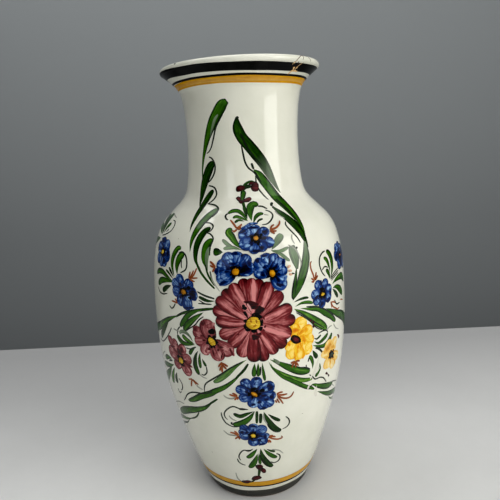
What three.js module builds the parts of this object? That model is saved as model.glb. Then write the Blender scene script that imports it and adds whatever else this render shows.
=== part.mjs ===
// A hand-thrown talavera vase. Its belly and neck are two thrown sections of clay, luted
// together at the shoulder. A cream tin glaze covers the outside and the lip, a thinner coat
// covers the inside, and the foot and rim carry bands painted on the wheel.
// Millimetres, +Z up. The origin is the centre of the flat foot ring that the vase stands on.
import * as THREE from 'three';

// ---- driving dimensions ------------------------------------------------------------------

const HEIGHT = 244.5;
const ROUND_STEPS = 36;           // facets round every turned piece, the same on all of them
const GAP = 0.3;                  // clearance between neighbouring pieces
const GLAZE = 0.5;                // thickness of a glaze coat
const PAINT = 0.4;                // thickness of a painted band

const FOOT_OUTER = 31.2;          // flat ring that the vase stands on
const FOOT_INNER = 24.5;
const FOOT_HOLLOW = 3.5;          // depth of the turned hollow under the foot
const FOOT_BEVEL = 1.5;           // the hollow's side leans in by this much
const FLOOR_TOP = 10;             // height of the glazed floor inside
const FLOOR_FLAT = 18;            // radius of the flat middle of that floor
const FLOOR_CORNER = 24;          // the wall starts to round into the floor at this height

const SEAM = 171;                 // height on the outside where the neck is luted on
const LIP_RADIUS = 1.7;           // rounding of the lip
const LIP_CENTRE = { r: 40.6, z: HEIGHT - LIP_RADIUS };
const LIP_START = -52;            // degrees from straight out: the lip meets the outside
const LIP_END = 128;              // and the inside

// Outside of the glazed vase from the foot to the lip: [radius, height].
const OUTSIDE = [
  [32.2, 0], [37.0, 12], [41.1, 24], [47.8, 48], [53.1, 72], [55.6, 96], [56.0, 118],
  [54.6, 141], [51.4, 156], [47.3, 164], [41.2, 170.5], [36.2, 175.5], [33.1, 181],
  [31.2, 192], [30.4, 208], [30.9, 222], [32.1, 230.5], [33.4, 233.8], [35.6, 236.6], [38.3, 239],
  [41.6, 241.6],
];

// Thickness of the wall with both its glaze coats: [height, thickness].
const THICKNESS = [[0, 5.8], [165, 5.2], [205, 4.5], [236, 3.6], [242, 3.4]];

// Painted bands, as heights on the outside: the black foot lies where the glaze stops, and
// the others lie on the glaze.
const FOOT_BAND = [0.5, 6.8];
const FOOT_LINE = [10.3, 11.2];
const FOOT_OCHRE = [11.9, 14.8];
const RIM_OCHRE = [233.4, 235.9];
const RIM_LINE = [236.5, 237.1];
const RIM_BAND = [238.5, 241.2];

// ---- the turned wall ---------------------------------------------------------------------

const outside = new THREE.SplineCurve(OUTSIDE.map(([r, z]) => new THREE.Vector2(r, z)));
const wall = outside.getPoints(400);
const WALL_TOP = wall[wall.length - 1].y;

// Radius of the outside at a height.
function radiusAt(z) {
  const above = Math.max(1, wall.findIndex((point) => point.y >= z));
  const low = wall[above - 1];
  const high = wall[above];
  return THREE.MathUtils.mapLinear(z, low.y, high.y, low.x, high.x);
}

// A point of the section: start on the outside at a height and go in by a depth, at right
// angles to the wall. A negative depth goes outwards.
function inset(z, depth) {
  const low = Math.max(z - 0.5, 0);
  const high = Math.min(z + 0.5, WALL_TOP);
  const slope = (radiusAt(high) - radiusAt(low)) / (high - low);
  const length = Math.hypot(slope, 1);
  return new THREE.Vector2(radiusAt(z) - depth / length, z + (depth * slope) / length);
}

// The wall's thickness at a height.
function thicknessAt(z) {
  const above = THICKNESS.findIndex(([height]) => height > z);
  const [z0, t0] = THICKNESS[above - 1];
  const [z1, t1] = THICKNESS[above];
  return THREE.MathUtils.mapLinear(z, z0, z1, t0, t1);
}

// Heights between two limits, with the outline's own points in between.
function heights(low, high) {
  const clear = 1;
  const between = OUTSIDE.map(([, z]) => z).filter((z) => z > low + clear && z < high - clear);
  return [low, ...between, high];
}

// A line along the outside, from low to high, at a depth below the glazed surface.
function outerLine(low, high, depth) {
  return heights(low, high).map((z) => inset(z, depth));
}

// A line along the inside, from high to low, at a depth below the glazed surface.
function innerLine(high, low, depth) {
  return heights(low, high).reverse().map((z) => inset(z, thicknessAt(z) - depth));
}

// The section over the lip, at a depth below the glazed surface.
function lipLine(depth) {
  const arc = new THREE.Path();
  const start = THREE.MathUtils.degToRad(LIP_START);
  const end = THREE.MathUtils.degToRad(LIP_END);
  arc.absarc(LIP_CENTRE.r, LIP_CENTRE.z, LIP_RADIUS - depth, start, end, false);
  return arc.getPoints(3);
}

// The rounded corner and flat floor inside, from the wall to the axis, at a depth below the
// glazed surface.
function floorLine(depth) {
  const start = inset(FLOOR_CORNER, thicknessAt(FLOOR_CORNER) - depth);
  const corner = new THREE.Vector2(start.x - 1, FLOOR_TOP - depth);
  const end = new THREE.Vector2(FLOOR_FLAT, FLOOR_TOP - depth);
  const curve = new THREE.QuadraticBezierCurve(start, corner, end);
  return [...curve.getPoints(4).slice(1), new THREE.Vector2(0, FLOOR_TOP - depth)];
}

// ---- materials ---------------------------------------------------------------------------

function finish(color, roughness) {
  return new THREE.MeshStandardMaterial({ color, roughness, metalness: 0 });
}

const clay = finish(0xb9744d, 0.9);
const cream = finish(0xe6e4d6, 0.12);
const black = finish(0x0d0d0e, 0.2);
const ochre = finish(0xc98a1c, 0.2);
const charcoal = finish(0x2a2926, 0.7);

// ---- pieces ------------------------------------------------------------------------------

const vase = new THREE.Group();

// Turns a section about +Z. It closes on itself, or starts and ends on the axis.
function addTurned(name, section, material) {
  const onAxis = section[0].x === 0;
  const profile = onAxis ? section : [...section, section[0].clone()];
  const geometry = new THREE.LatheGeometry(profile, ROUND_STEPS);
  geometry.rotateX(Math.PI / 2);
  const mesh = new THREE.Mesh(geometry, material);
  mesh.name = name;
  vase.add(mesh);
}

// The thrown belly, with its turned foot ring and the hollow underneath.
function addBellyClay() {
  const depth = GLAZE + GAP;
  const top = SEAM - GAP / 2;
  addTurned('belly_clay', [
    new THREE.Vector2(0, FOOT_HOLLOW),
    new THREE.Vector2(FOOT_INNER - FOOT_BEVEL, FOOT_HOLLOW),
    new THREE.Vector2(FOOT_INNER, 0),
    new THREE.Vector2(FOOT_OUTER, 0),
    ...outerLine(1, top, depth),
    ...innerLine(top, FLOOR_CORNER, depth),
    ...floorLine(depth),
  ], clay);
}

// The thrown neck, luted to the shoulder, which flares into the rim.
function addNeckClay() {
  const depth = GLAZE + GAP;
  const bottom = SEAM + GAP / 2;
  addTurned('neck_clay', [
    ...outerLine(bottom, WALL_TOP, depth),
    ...lipLine(depth),
    ...innerLine(WALL_TOP, bottom, depth),
  ], clay);
}

// The cream glaze: up the outside from the foot band and over the lip.
function addOuterGlaze() {
  const bottom = FOOT_BAND[1] + GAP;
  addTurned('outer_glaze', [
    ...outerLine(bottom, WALL_TOP, 0),
    ...lipLine(0),
    ...lipLine(GLAZE).reverse(),
    ...outerLine(bottom, WALL_TOP, GLAZE).reverse(),
  ], cream);
}

// The glaze inside, from just below the lip down to the floor.
function addInnerGlaze() {
  const top = WALL_TOP - 2 * GAP;
  addTurned('inner_glaze', [
    ...floorLine(GLAZE).reverse(),
    ...innerLine(top, FLOOR_CORNER, GLAZE).reverse(),
    ...innerLine(top, FLOOR_CORNER, 0),
    ...floorLine(0),
  ], cream);
}

// A painted ring between two heights, lifted off the glazed surface by a distance.
function addBand(name, [low, high], lift, thickness, material) {
  addTurned(name, [
    ...outerLine(low, high, -lift - thickness),
    ...outerLine(low, high, -lift).reverse(),
  ], material);
}

addBellyClay();
addNeckClay();
addOuterGlaze();
addInnerGlaze();
addBand('foot_band', FOOT_BAND, -GLAZE, GLAZE, charcoal);
addBand('foot_line', FOOT_LINE, GAP, PAINT, black);
addBand('foot_ochre_band', FOOT_OCHRE, GAP, PAINT, ochre);
addBand('rim_ochre_band', RIM_OCHRE, GAP, PAINT, ochre);
addBand('rim_line', RIM_LINE, GAP, PAINT, black);
addBand('rim_band', RIM_BAND, GAP, PAINT, black);

export default vase;
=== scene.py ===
"""Looks of a hand-painted talavera vase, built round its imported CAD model.

Everything is worked out in millimetres on the vase's own surface: an angle round the axis in
degrees (0 faces the camera, positive to the right) and a height. Blender gets metres.
"""

import math

import bpy
import numpy as np
from mathutils import Matrix, Vector


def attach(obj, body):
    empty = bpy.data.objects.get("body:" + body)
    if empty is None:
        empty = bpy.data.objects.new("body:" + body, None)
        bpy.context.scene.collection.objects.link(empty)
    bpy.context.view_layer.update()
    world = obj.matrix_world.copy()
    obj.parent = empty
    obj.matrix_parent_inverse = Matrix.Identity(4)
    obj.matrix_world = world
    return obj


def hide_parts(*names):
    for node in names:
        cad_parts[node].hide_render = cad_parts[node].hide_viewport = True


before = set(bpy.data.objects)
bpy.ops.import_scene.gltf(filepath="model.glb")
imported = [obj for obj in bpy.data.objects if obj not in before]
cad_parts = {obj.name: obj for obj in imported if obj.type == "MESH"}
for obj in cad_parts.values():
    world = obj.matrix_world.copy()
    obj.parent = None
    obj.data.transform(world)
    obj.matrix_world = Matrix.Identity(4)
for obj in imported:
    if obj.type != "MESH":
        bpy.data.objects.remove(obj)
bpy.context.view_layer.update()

MM = 0.001
FULL_TURN = 2 * math.pi


def table(text):
    """The words of each row of a table. A row ends with its line or at a slash."""
    return [row.split() for row in text.replace("\n", "/").split("/") if row.strip()]


def floats(words):
    return [float(word) for word in words]


# ---- the vase's surface ------------------------------------------------------------------

# Outside of the glazed vase, as in the CAD source: [radius, height].
OUTSIDE = [
    [32.2, 0], [37.0, 12], [41.1, 24], [47.8, 48], [53.1, 72], [55.6, 96], [56.0, 118],
    [54.6, 141], [51.4, 156], [47.3, 164], [41.2, 170.5], [36.2, 175.5], [33.1, 181],
    [31.2, 192], [30.4, 208], [30.9, 222], [32.1, 230.5], [33.4, 233.8], [35.6, 236.6],
    [38.3, 239], [41.6, 241.6],
]
LIP_RADIUS, LIP_HEIGHT = 40.6, 242.8  # the middle of the rounded lip
LIP_ROUND = 1.7  # radius of its rounding
LIP_FROM, LIP_TO = -50, 128  # degrees from straight out
WALL_TOP = 241.3  # where the lip's rounding takes over from the wall
THICKNESS = ((0, 165, 205, 236, 242), (5.8, 5.2, 4.5, 3.6, 3.4))  # heights, thicknesses
GLAZE = 0.5  # thickness of the glaze
CLAY_DEPTH = 0.8  # the clay lies this far below the glazed surface
FLOOR_TOP, FLOOR_FLAT, FLOOR_CORNER = 10, 18, 24
FOOT_OUTER, FOOT_INNER, FOOT_HOLLOW, FOOT_BEVEL = 31.2, 24.5, 3.5, 1.5
SEAM = 171  # where the neck's clay meets the belly's
SEAM_GAP = 0.15  # half the gap between their meshes
GLAZE_BOTTOM = 6.9  # the glaze stops here, above the bare foot
RIM_TILT = 0.5  # mm that the rim rises on the right


def lip_line(depth, count):
    """Points over the lip, from the outside to the inside, in by a depth."""
    turn = np.radians(np.linspace(LIP_FROM, LIP_TO, count))
    size = LIP_ROUND - depth
    return np.stack([LIP_RADIUS + size * np.cos(turn), LIP_HEIGHT + size * np.sin(turn)], 1)


def outline():
    """Fine points along the outside, from the foot over the lip: radius, height."""
    points = np.array([OUTSIDE[0], *OUTSIDE, OUTSIDE[-1]], float)
    fine = []
    for a, b, c, d in zip(points, points[1:], points[2:], points[3:]):
        t = np.linspace(0, 1, 40, endpoint=False)[:, None]
        va, vb = (c - a) / 2, (d - b) / 2
        cube, square = 2 * b - 2 * c + va + vb, -3 * b + 3 * c - 2 * va - vb
        fine.append(cube * t**3 + square * t**2 + va * t + b)
    wall = np.concatenate(fine)
    return np.concatenate([wall[wall[:, 1] < WALL_TOP], lip_line(0, 60)])


LINE = outline()
ALONG = np.concatenate([[0], np.cumsum(np.hypot(*np.diff(LINE, axis=0).T))])  # distances
TANGENT = np.gradient(LINE, ALONG, axis=0)
TANGENT /= np.linalg.norm(TANGENT, axis=1)[:, None]
LAST = int(np.argmax(LINE[:, 1] >= WALL_TOP)) - 1
# "Height" goes on over the lip as distance, so that it never runs backwards.
HEIGHT = np.where(np.arange(len(LINE)) <= LAST, LINE[:, 1],
                  LINE[LAST, 1] + ALONG - ALONG[LAST])


def along(z):
    """Distance along the outline at a height."""
    return np.interp(z, HEIGHT, ALONG)


def radius(t):
    return np.interp(t, ALONG, LINE[:, 0])


def section_at(t, depth=0.0):
    """Points of the section at distances t along the outside, in by a depth."""
    r, z = radius(t), np.interp(t, ALONG, LINE[:, 1])
    tr, tz = np.interp(t, ALONG, TANGENT[:, 0]), np.interp(t, ALONG, TANGENT[:, 1])
    return np.stack([r - depth * tz, z + depth * tr], -1)


def on_surface(angle, t, lift=0.0):
    """Points in space at an angle in degrees and a distance t along the outline."""
    rz = section_at(np.asarray(t, float), -np.asarray(lift, float))
    a = np.radians(angle)
    return np.stack([rz[..., 0] * np.sin(a), -rz[..., 0] * np.cos(a), rz[..., 1]], -1)


def smooth(x, low, high):
    """0 up to low, 1 from high on, and a smooth step between."""
    x = np.clip((np.asarray(x, float) - low) / (high - low), 0, 1)
    return x * x * (3 - 2 * x)


def waves(angle, parts):
    """A sum of sines: the size, the number in a turn and the start of each."""
    return sum(size * np.sin(count * angle + start) for size, count, start in parts)


def thrown(points):
    """The unevenness of a hand-thrown pot: a little out of round, its rim a little tilted."""
    x, y, z = np.asarray(points, float).T
    a = np.arctan2(x, -y)
    grow = 1 + 0.0013 * np.sin(2 * a + 0.012 * z) + 0.0007 * np.sin(3 * a + 1.0 - 0.02 * z)
    tilt = RIM_TILT * x / 42 * smooth(z, 215, 242)
    return np.stack([x * grow, y * grow, z + tilt], 1)


# ---- materials ---------------------------------------------------------------------------

def srgb(*values):
    """Linear colour from 0-255 display values."""
    c = np.array(values, float) / 255
    return (*np.where(c <= 0.04045, c / 12.92, ((c + 0.055) / 1.055) ** 2.4), 1.0)


def grey(value):
    return (value, value, value, 1.0)


class Nodes:
    """Short calls for building a material's nodes."""

    def __init__(self, name, roughness, specular=0.5):
        self.material = bpy.data.materials.new(name)
        self.material.use_nodes = True
        self.tree = self.material.node_tree
        self.shader = self.tree.nodes["Principled BSDF"]
        self.shader.inputs["Roughness"].default_value = roughness
        self.shader.inputs["Specular IOR Level"].default_value = specular

    def put(self, socket, value):
        if hasattr(value, "is_output"):
            self.tree.links.new(value, socket)
        else:
            socket.default_value = value

    def add(self, kind, out=0, inputs=None, **settings):
        node = self.tree.nodes.new(kind)
        for key, value in settings.items():
            setattr(node, key, value)
        for key, value in (inputs or {}).items():
            self.put(node.inputs[key], value)
        return node.outputs[out]

    def scaled(self, vector, stretch):
        return self.add("ShaderNodeMapping", inputs={"Vector": vector, "Scale": stretch})

    def place(self, stretch=(1, 1, 1)):
        """Position on the object, in metres, stretched along each axis."""
        return self.scaled(self.add("ShaderNodeTexCoord", "Object"), stretch)

    def attribute(self, name, out="Fac"):
        return self.add("ShaderNodeAttribute", out, attribute_name=name)

    def noise(self, vector, scale, detail=4.0, rough=0.55):
        return self.add("ShaderNodeTexNoise", "Fac", {
            "Vector": vector, "Scale": scale, "Detail": detail, "Roughness": rough})

    def maths(self, operation, a, b, c=0.0):
        return self.add("ShaderNodeMath", 0, {0: a, 1: b, 2: c}, operation=operation)

    def scale_add(self, value, times, plus):
        return self.maths("MULTIPLY_ADD", value, times, plus)

    def clamp(self, value):
        return self.add("ShaderNodeClamp", 0, {"Value": value})

    def mix(self, share, under, over):
        node = self.tree.nodes.new("ShaderNodeMix")
        node.data_type = "RGBA"
        for key, value in (("Factor", share), (6, under), (7, over)):
            self.put(node.inputs[key], value)
        return node.outputs[2]

    def ramp(self, value, *stops):
        node = self.tree.nodes.new("ShaderNodeValToRGB")
        self.put(node.inputs[0], value)
        marks = node.color_ramp.elements
        while len(marks) < len(stops):
            marks.new(0.5)
        for mark, (position, colour) in zip(marks, stops):
            mark.position, mark.color = position, colour
        return node.outputs[0]

    def blotch(self, value, low, high, most, under, over):
        """One colour with another over it, more and more as a value goes from low to high."""
        return self.mix(self.ramp(value, (low, grey(0)), (high, grey(most))), under, over)

    def finish(self, colour, height, strength, distance, roughness=None):
        """Links the colour, the bump (its distance in metres) and a roughness that varies."""
        self.put(self.shader.inputs["Base Color"], colour)
        if roughness is not None:
            self.put(self.shader.inputs["Roughness"], roughness)
        bump = self.add("ShaderNodeBump", "Normal", {
            "Height": height, "Strength": strength, "Distance": distance})
        self.put(self.shader.inputs["Normal"], bump)
        return self.material


CREAM = srgb(236, 235, 223)


def glaze_material(name, base, shade, roughness):
    """Opaque tin glaze: creamy and slightly uneven, with pinholes and a few dark specks."""
    n = Nodes(name, roughness)
    where = n.place()
    colour = n.blotch(n.noise(where, 24, 5, 0.6), 0.35, 0.7, 1, base, shade)
    streaks = n.noise(n.place((1, 1, 0.12)), 90, 3)
    colour = n.blotch(streaks, 0.45, 0.8, 0.35, colour, srgb(220, 222, 205))
    spots = n.add("ShaderNodeTexVoronoi", "Distance", {"Vector": where, "Scale": 75.0})
    size = n.scale_add(n.noise(where, 45, 2), 0.16, -0.055)  # below 0 in most places
    specks = n.maths("LESS_THAN", spots, size)
    colour = n.mix(n.maths("MULTIPLY", specks, 0.5), colour, srgb(120, 104, 82))
    ripple = n.noise(n.place((1, 1, 2.4)), 38, 2, 0.4)
    peel = n.noise(where, 420, 2, 0.5)
    height = n.scale_add(peel, 0.12, ripple)
    height = n.maths("SUBTRACT", height, n.maths("MULTIPLY", specks, 0.2))
    rough = n.scale_add(n.noise(where, 60, 3), 0.06, roughness - 0.03)
    return n.finish(colour, height, 0.35, 0.0006, rough)


def clay_material():
    """Bare fired earthenware, with grog and turning marks."""
    n = Nodes("Fired clay", 0.9, 0.3)
    where = n.place()
    grain = n.noise(where, 900, 4)
    colour = n.mix(n.noise(where, 60, 5), srgb(186, 124, 84), srgb(214, 158, 116))
    colour = n.blotch(grain, 0.5, 0.72, 0.7, colour, srgb(146, 88, 58))
    rings = n.noise(n.place((1, 1, 9)), 90, 2)
    return n.finish(colour, n.scale_add(grain, 0.5, rings), 0.5, 0.0004)


def foot_material():
    """Charcoal slip brushed thinly round the bare foot."""
    n = Nodes("Charcoal slip", 0.62, 0.35)
    where = n.place()
    brushed = n.noise(n.place((1, 1, 14)), 55, 4)
    colour = n.blotch(brushed, 0.35, 0.75, 1, srgb(40, 40, 38), srgb(88, 86, 78))
    worn = n.noise(where, 260, 5, 0.7)
    colour = n.blotch(worn, 0.66, 0.75, 0.6, colour, srgb(150, 128, 104))
    rough = n.scale_add(brushed, 0.2, 0.52)
    return n.finish(colour, n.scale_add(worn, 0.4, brushed), 0.4, 0.0003, rough)


TONE_STOPS = (0.02, 0.3, 0.6, 0.95)  # the tones at which a pigment has its four colours
POOLING = 0.22  # how much the pools change the tone


def paint(name, colours, thin=CREAM, streak=0.5, roughness=0.1, specular=0.22):
    """A pigment in the glaze. "tone" says how thickly it lies, "wash" how far it thins to the
    cream below, and "brush" runs along and across the stroke for the marks of the hairs."""
    n = Nodes(name, roughness, specular)
    brush = n.attribute("brush", "Vector")
    hairs = n.noise(n.scaled(brush, (0.15, 1.15, 1.0)), 1.0, 4)
    pools = n.noise(n.scaled(brush, (0.5, 0.55, 1.0)), 1.0, 2)
    tone = n.scale_add(hairs, streak, n.attribute("tone"))
    tone = n.scale_add(pools, POOLING, tone)
    tone = n.maths("SUBTRACT", tone, 0.5 * streak + POOLING / 2)
    colour = n.ramp(tone, *zip(TONE_STOPS, (srgb(*floats(row)) for row in table(colours))))
    wash = n.maths("MULTIPLY", n.attribute("wash"), n.scale_add(hairs, 0.8, 0.6))
    colour = n.mix(n.clamp(wash), colour, thin)
    height = n.scale_add(hairs, 0.5, n.attribute("tone"))
    rough = n.scale_add(pools, 0.05, roughness - 0.02)
    return n.finish(colour, height, 0.12, 0.0002, rough)


# Each pigment: its name, its slot, its colours from the thickest to the thinnest, its look.
PIGMENTS = {
    "green": ("Copper green", "green_paint", "1 17 0 / 15 54 0 / 56 110 10 / 144 184 78",
              dict(thin=srgb(206, 216, 196), streak=0.8)),
    "ink": ("Dark line", "green_paint", "8 14 8 / 24 34 22 / 52 66 50 / 108 122 104", {}),
    "cobalt": ("Cobalt blue", "cobalt_paint", "0 0 24 / 0 16 68 / 8 62 132 / 166 202 234",
               dict(streak=0.9)),
    "manganese": ("Manganese red", "manganese_paint",
                  "22 0 0 / 66 0 5 / 124 32 38 / 214 142 140", dict(streak=1.0)),
    "mauve": ("Thin manganese", "manganese_paint",
              "30 0 0 / 84 12 20 / 142 66 70 / 216 162 158", dict(streak=0.9)),
    "yellow": ("Antimony yellow", "yellow_paint",
               "206 118 4 / 228 160 10 / 238 196 44 / 252 232 150", dict(streak=0.6)),
    "straw": ("Thin yellow", "yellow_paint",
              "170 104 30 / 222 166 60 / 236 204 120 / 242 232 196", dict(streak=0.8)),
    "amber": ("Orange eye", "yellow_paint", "74 40 0 / 150 96 4 / 204 146 16 / 232 186 66",
              dict(streak=1.0)),
    "olive": ("Olive eye", "yellow_paint", "84 58 4 / 172 132 18 / 224 188 50 / 246 224 118",
              dict(streak=1.0)),
    "rust": ("Iron rust", "rust_paint", "84 34 10 / 132 66 26 / 176 102 54 / 218 166 126", {}),
    "black": ("Manganese black", "black_paint", "1 1 1 / 3 3 3 / 6 6 6 / 20 19 18",
              dict(streak=0.3, roughness=0.2, specular=0.08)),
    # Pale cream-grey streaks laid over the leaves at the right of the belly: a painted reflection
    # of the window in the glaze.
    "scuff": ("Painted reflection on glaze", "cream_glaze",
              "176 172 158 / 206 203 190 / 228 226 216 / 244 243 236", {}),
    "chip": ("Chipped edge", "fired_clay", "72 46 26 / 150 104 58 / 196 152 96 / 226 198 150",
             dict(roughness=0.8)),
    "ochre": ("Ochre band", "ochre_paint", "150 104 0 / 194 140 0 / 216 164 2 / 232 184 26",
              dict(streak=0.6, specular=0.1)),
}
PAINTS = {key: (paint(name, colours, **look), slot)
          for key, (name, slot, colours, look) in PIGMENTS.items()}

# ---- turned pieces -----------------------------------------------------------------------

ROUND_STEPS = 240
SHARP_ANGLE = math.radians(50)


def make(name, vertices, faces, material, slot, *replaced):
    """A smooth-shaded piece that rides with the vase."""
    mesh = bpy.data.meshes.new(name)
    mesh.from_pydata((thrown(vertices) * MM).tolist(), [], faces)
    mesh.polygons.foreach_set("use_smooth", [True] * len(mesh.polygons))
    mesh.set_sharp_from_angle(angle=SHARP_ANGLE)
    mesh.materials.append(material)
    piece = bpy.data.objects.new(name, mesh)
    bpy.context.scene.collection.objects.link(piece)
    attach(piece, "root")
    if replaced:
        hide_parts(*replaced)
    return piece


def turned(section, shape=None):
    """Vertices and faces of a section turned about the axis. It is closed, or starts and ends
    on the axis. shape(angles, points) may move the points."""
    section = np.asarray(section, float)
    poles = section[0][0] < 1e-6
    body = section[1:-1] if poles else section
    angles = np.linspace(0, FULL_TURN, ROUND_STEPS, endpoint=False)
    r, z = body[:, 0][:, None], body[:, 1][:, None]
    grid = np.stack([r * np.sin(angles), -r * np.cos(angles), z + 0 * angles], -1)
    if shape:
        grid = shape(angles[None, :], grid)
    rows, cols = grid.shape[:2]
    index = np.arange(rows * cols).reshape(rows, cols)
    following = np.roll(index, -1, axis=1)
    last = rows - 1 if poles else rows
    above = np.roll(index, -1, axis=0)
    above_next = np.roll(above, -1, axis=1)
    faces = np.stack([index, following, above_next, above], -1)[:last].reshape(-1, 4).tolist()
    vertices = grid.reshape(-1, 3)
    if poles:
        vertices = np.concatenate([vertices, [[0, 0, section[0][1]], [0, 0, section[-1][1]]]])
        low, high = rows * cols, rows * cols + 1
        faces += [[low, b, a] for a, b in zip(index[0].tolist(), following[0].tolist())]
        faces += [[high, a, b] for a, b in zip(index[-1].tolist(), following[-1].tolist())]
    return vertices, faces


def heights(low, high, step):
    return np.linspace(low, high, max(2, int((high - low) / step)))


def outer_line(low, high, step, depth):
    """The outside wall, from low to high, in by a depth."""
    return section_at(along(heights(low, high, step)), depth)


def inner_line(high, low, depth, step=1.5):
    """The inside wall, from high to low, at a depth below its glazed surface."""
    z = heights(low, high, step)[::-1]
    return section_at(along(z), np.interp(z, *THICKNESS) - depth)


def floor_line(depth):
    """The inside from the corner of the floor to the axis."""
    start = inner_line(FLOOR_CORNER + 1, FLOOR_CORNER, depth)[-1]
    z = FLOOR_TOP - depth
    corner, end = np.array([start[0] - 1, z]), np.array([FLOOR_FLAT, z])
    u = np.linspace(0, 1, 14)[1:, None]
    curve = (1 - u) ** 2 * start + 2 * u * (1 - u) * corner + u**2 * end
    return np.concatenate([curve, [[r, z] for r in (13, 8, 3, 0)]])


def wave_bottom(angles, grid):
    """Makes the lower edge of the glaze uneven."""
    grid = grid.copy()
    uneven = waves(angles, ((0.28, 2, 0.6), (0.16, 5, 0), (0.1, 11, 2)))
    grid[..., 2] += uneven * (1 - smooth(grid[..., 2], GLAZE_BOTTOM, GLAZE_BOTTOM + 5))
    return grid


def build_body():
    outer_glaze = glaze_material("Tin glaze", CREAM, srgb(224, 224, 210), 0.09)
    # The inside glaze is duller than the outside, and its darker, warmer colours than the outer
    # cream are painted shade for the hollow inside.
    inner_glaze = glaze_material("Inner glaze", srgb(230, 224, 204), srgb(214, 206, 182), 0.16)
    clay, charcoal = clay_material(), foot_material()

    edge = GLAZE_BOTTOM + np.array([0.04, 0, 0.12])  # the rounded lower edge of the glaze
    bottom = GLAZE_BOTTOM + 0.35
    section = [
        *section_at(along(edge), np.array([GLAZE, 0.2, 0.06])),
        *outer_line(bottom, WALL_TOP - 0.05, 0.8, 0), *lip_line(0, 26),
        *lip_line(GLAZE, 8)[::-1], *outer_line(bottom, WALL_TOP, 6, GLAZE)[::-1],
    ]
    make("glaze_outside", *turned(section, wave_bottom), outer_glaze, "cream_glaze",
         "outer_glaze")

    top = WALL_TOP - 0.03
    under = [*inner_line(top, FLOOR_CORNER, GLAZE, 3), *floor_line(GLAZE)][::-1]
    section = [*under, *inner_line(top, FLOOR_CORNER, 0), *floor_line(0)]
    make("glaze_inside", *turned(section), inner_glaze, "inner_glaze", "inner_glaze")

    bevel = FOOT_INNER - FOOT_BEVEL
    section = [
        (0, FOOT_HOLLOW), (8, FOOT_HOLLOW), (16, FOOT_HOLLOW),
        (bevel - 0.8, FOOT_HOLLOW), (bevel, FOOT_HOLLOW - 0.3), (FOOT_INNER - 0.2, 0.35),
        (FOOT_INNER + 0.3, 0), (FOOT_OUTER - 0.5, 0), (FOOT_OUTER + 0.1, 0.3),
        *outer_line(1, SEAM - SEAM_GAP, 2, CLAY_DEPTH),
        *inner_line(SEAM - SEAM_GAP, FLOOR_CORNER, CLAY_DEPTH, 3), *floor_line(CLAY_DEPTH),
    ]
    make("clay_belly", *turned(section), clay, "fired_clay", "belly_clay")
    section = [
        *outer_line(SEAM + SEAM_GAP, WALL_TOP, 1.5, CLAY_DEPTH), *lip_line(CLAY_DEPTH, 8),
        *inner_line(WALL_TOP, SEAM + SEAM_GAP, CLAY_DEPTH, 2),
    ]
    make("clay_neck", *turned(section), clay, "fired_clay", "neck_clay")

    z = np.array([0.35, 0.7, 1.5, 3, 4.5, 5.5, 6.2, 6.8, 7.6])
    depth = np.array([0.5, 0.18, 0.12, 0.1, 0.1, 0.14, 0.22, 0.5, 0.56])
    section = [*section_at(along(z), depth), *section_at(along(z[::-1]), CLAY_DEPTH - 0.02)]
    make("foot_slip", *turned(section), charcoal, "charcoal_foot", "foot_band")


# ---- brush strokes -----------------------------------------------------------------------

BASE_LIFT = 0.03  # mm the colour stands proud of the glaze
LAYER_LIFT = 0.009  # mm more for each stroke that lies under it
DIP = 0.005  # mm that its rim lies lower than its middle
SUNK = 0.06  # mm that its underside lies below the surface
NEAR, TOUCHING = 0.3, 0.4  # mm of room within which two strokes count as overlapping
ROW_STEP = 0.65  # mm along a stroke from one row of its mesh to the next
FEWEST_ROWS, MOST_ROWS = 12, 560
TYPICAL_RADIUS = 50  # mm, for a first guess at a stroke's length
THINNEST = 0.02  # mm, the least half width of a stroke
LINE_WIDTH = 0.55  # a stroke with less half width has three columns
LINE_COLUMNS = (-1, 0, 1.0)
COLUMNS = (-1, -0.86, -0.6, -0.3, 0, 0.3, 0.6, 0.86, 1)
PROFILES = {  # width along a stroke: powers from its root and from its tip
    "blade": (0.95, 0.4), "drop": (1.0, 0.4), "line": (0.2, 0.25),
}
DAB_RINGS = np.array([0.45, 0.8, 1.0])
DAB_POINTS = 28
SEEDS = 90  # the range of places in the noise that strokes start from
rng = np.random.default_rng(7)
painted = []  # every stroke and dab, in painting order


def curve_through(points, count):
    """A smooth line through the points: count rows of angle, distance along the outline, and
    half width where the points give one."""
    p = np.array(points, float)
    p[:, 1] = along(p[:, 1])
    r = radius(p[:, 1])
    hop = np.hypot(np.radians(np.diff(p[:, 0])) * (r[1:] + r[:-1]) / 2, np.diff(p[:, 1]))
    knots = np.concatenate([[0], np.cumsum(np.sqrt(np.maximum(hop, 1e-6)))])
    if len(p) > 2:
        slopes = np.gradient(p, knots, axis=0)
    else:
        slopes = np.repeat((p[1:] - p[:-1]) / knots[-1], 2, axis=0)
    even = np.arange(count + 1) / count
    u = 0.35 * even + 0.65 * (1 - np.cos(math.pi * even)) / 2  # closer rows at the ends
    length = np.concatenate([[0], np.cumsum(hop)])
    at = np.interp(u * length[-1], length, knots)
    k = np.clip(np.searchsorted(knots, at, side="right") - 1, 0, len(p) - 2)
    h = (knots[k + 1] - knots[k])[:, None]
    t = ((at - knots[k]) / h[:, 0])[:, None]
    line = ((2 * t**3 - 3 * t**2 + 1) * p[k] + (t**3 - 2 * t**2 + t) * h * slopes[k]
            + (3 * t**2 - 2 * t**3) * p[k + 1] + (t**3 - t**2) * h * slopes[k + 1])
    return line, u, length[-1]


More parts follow.
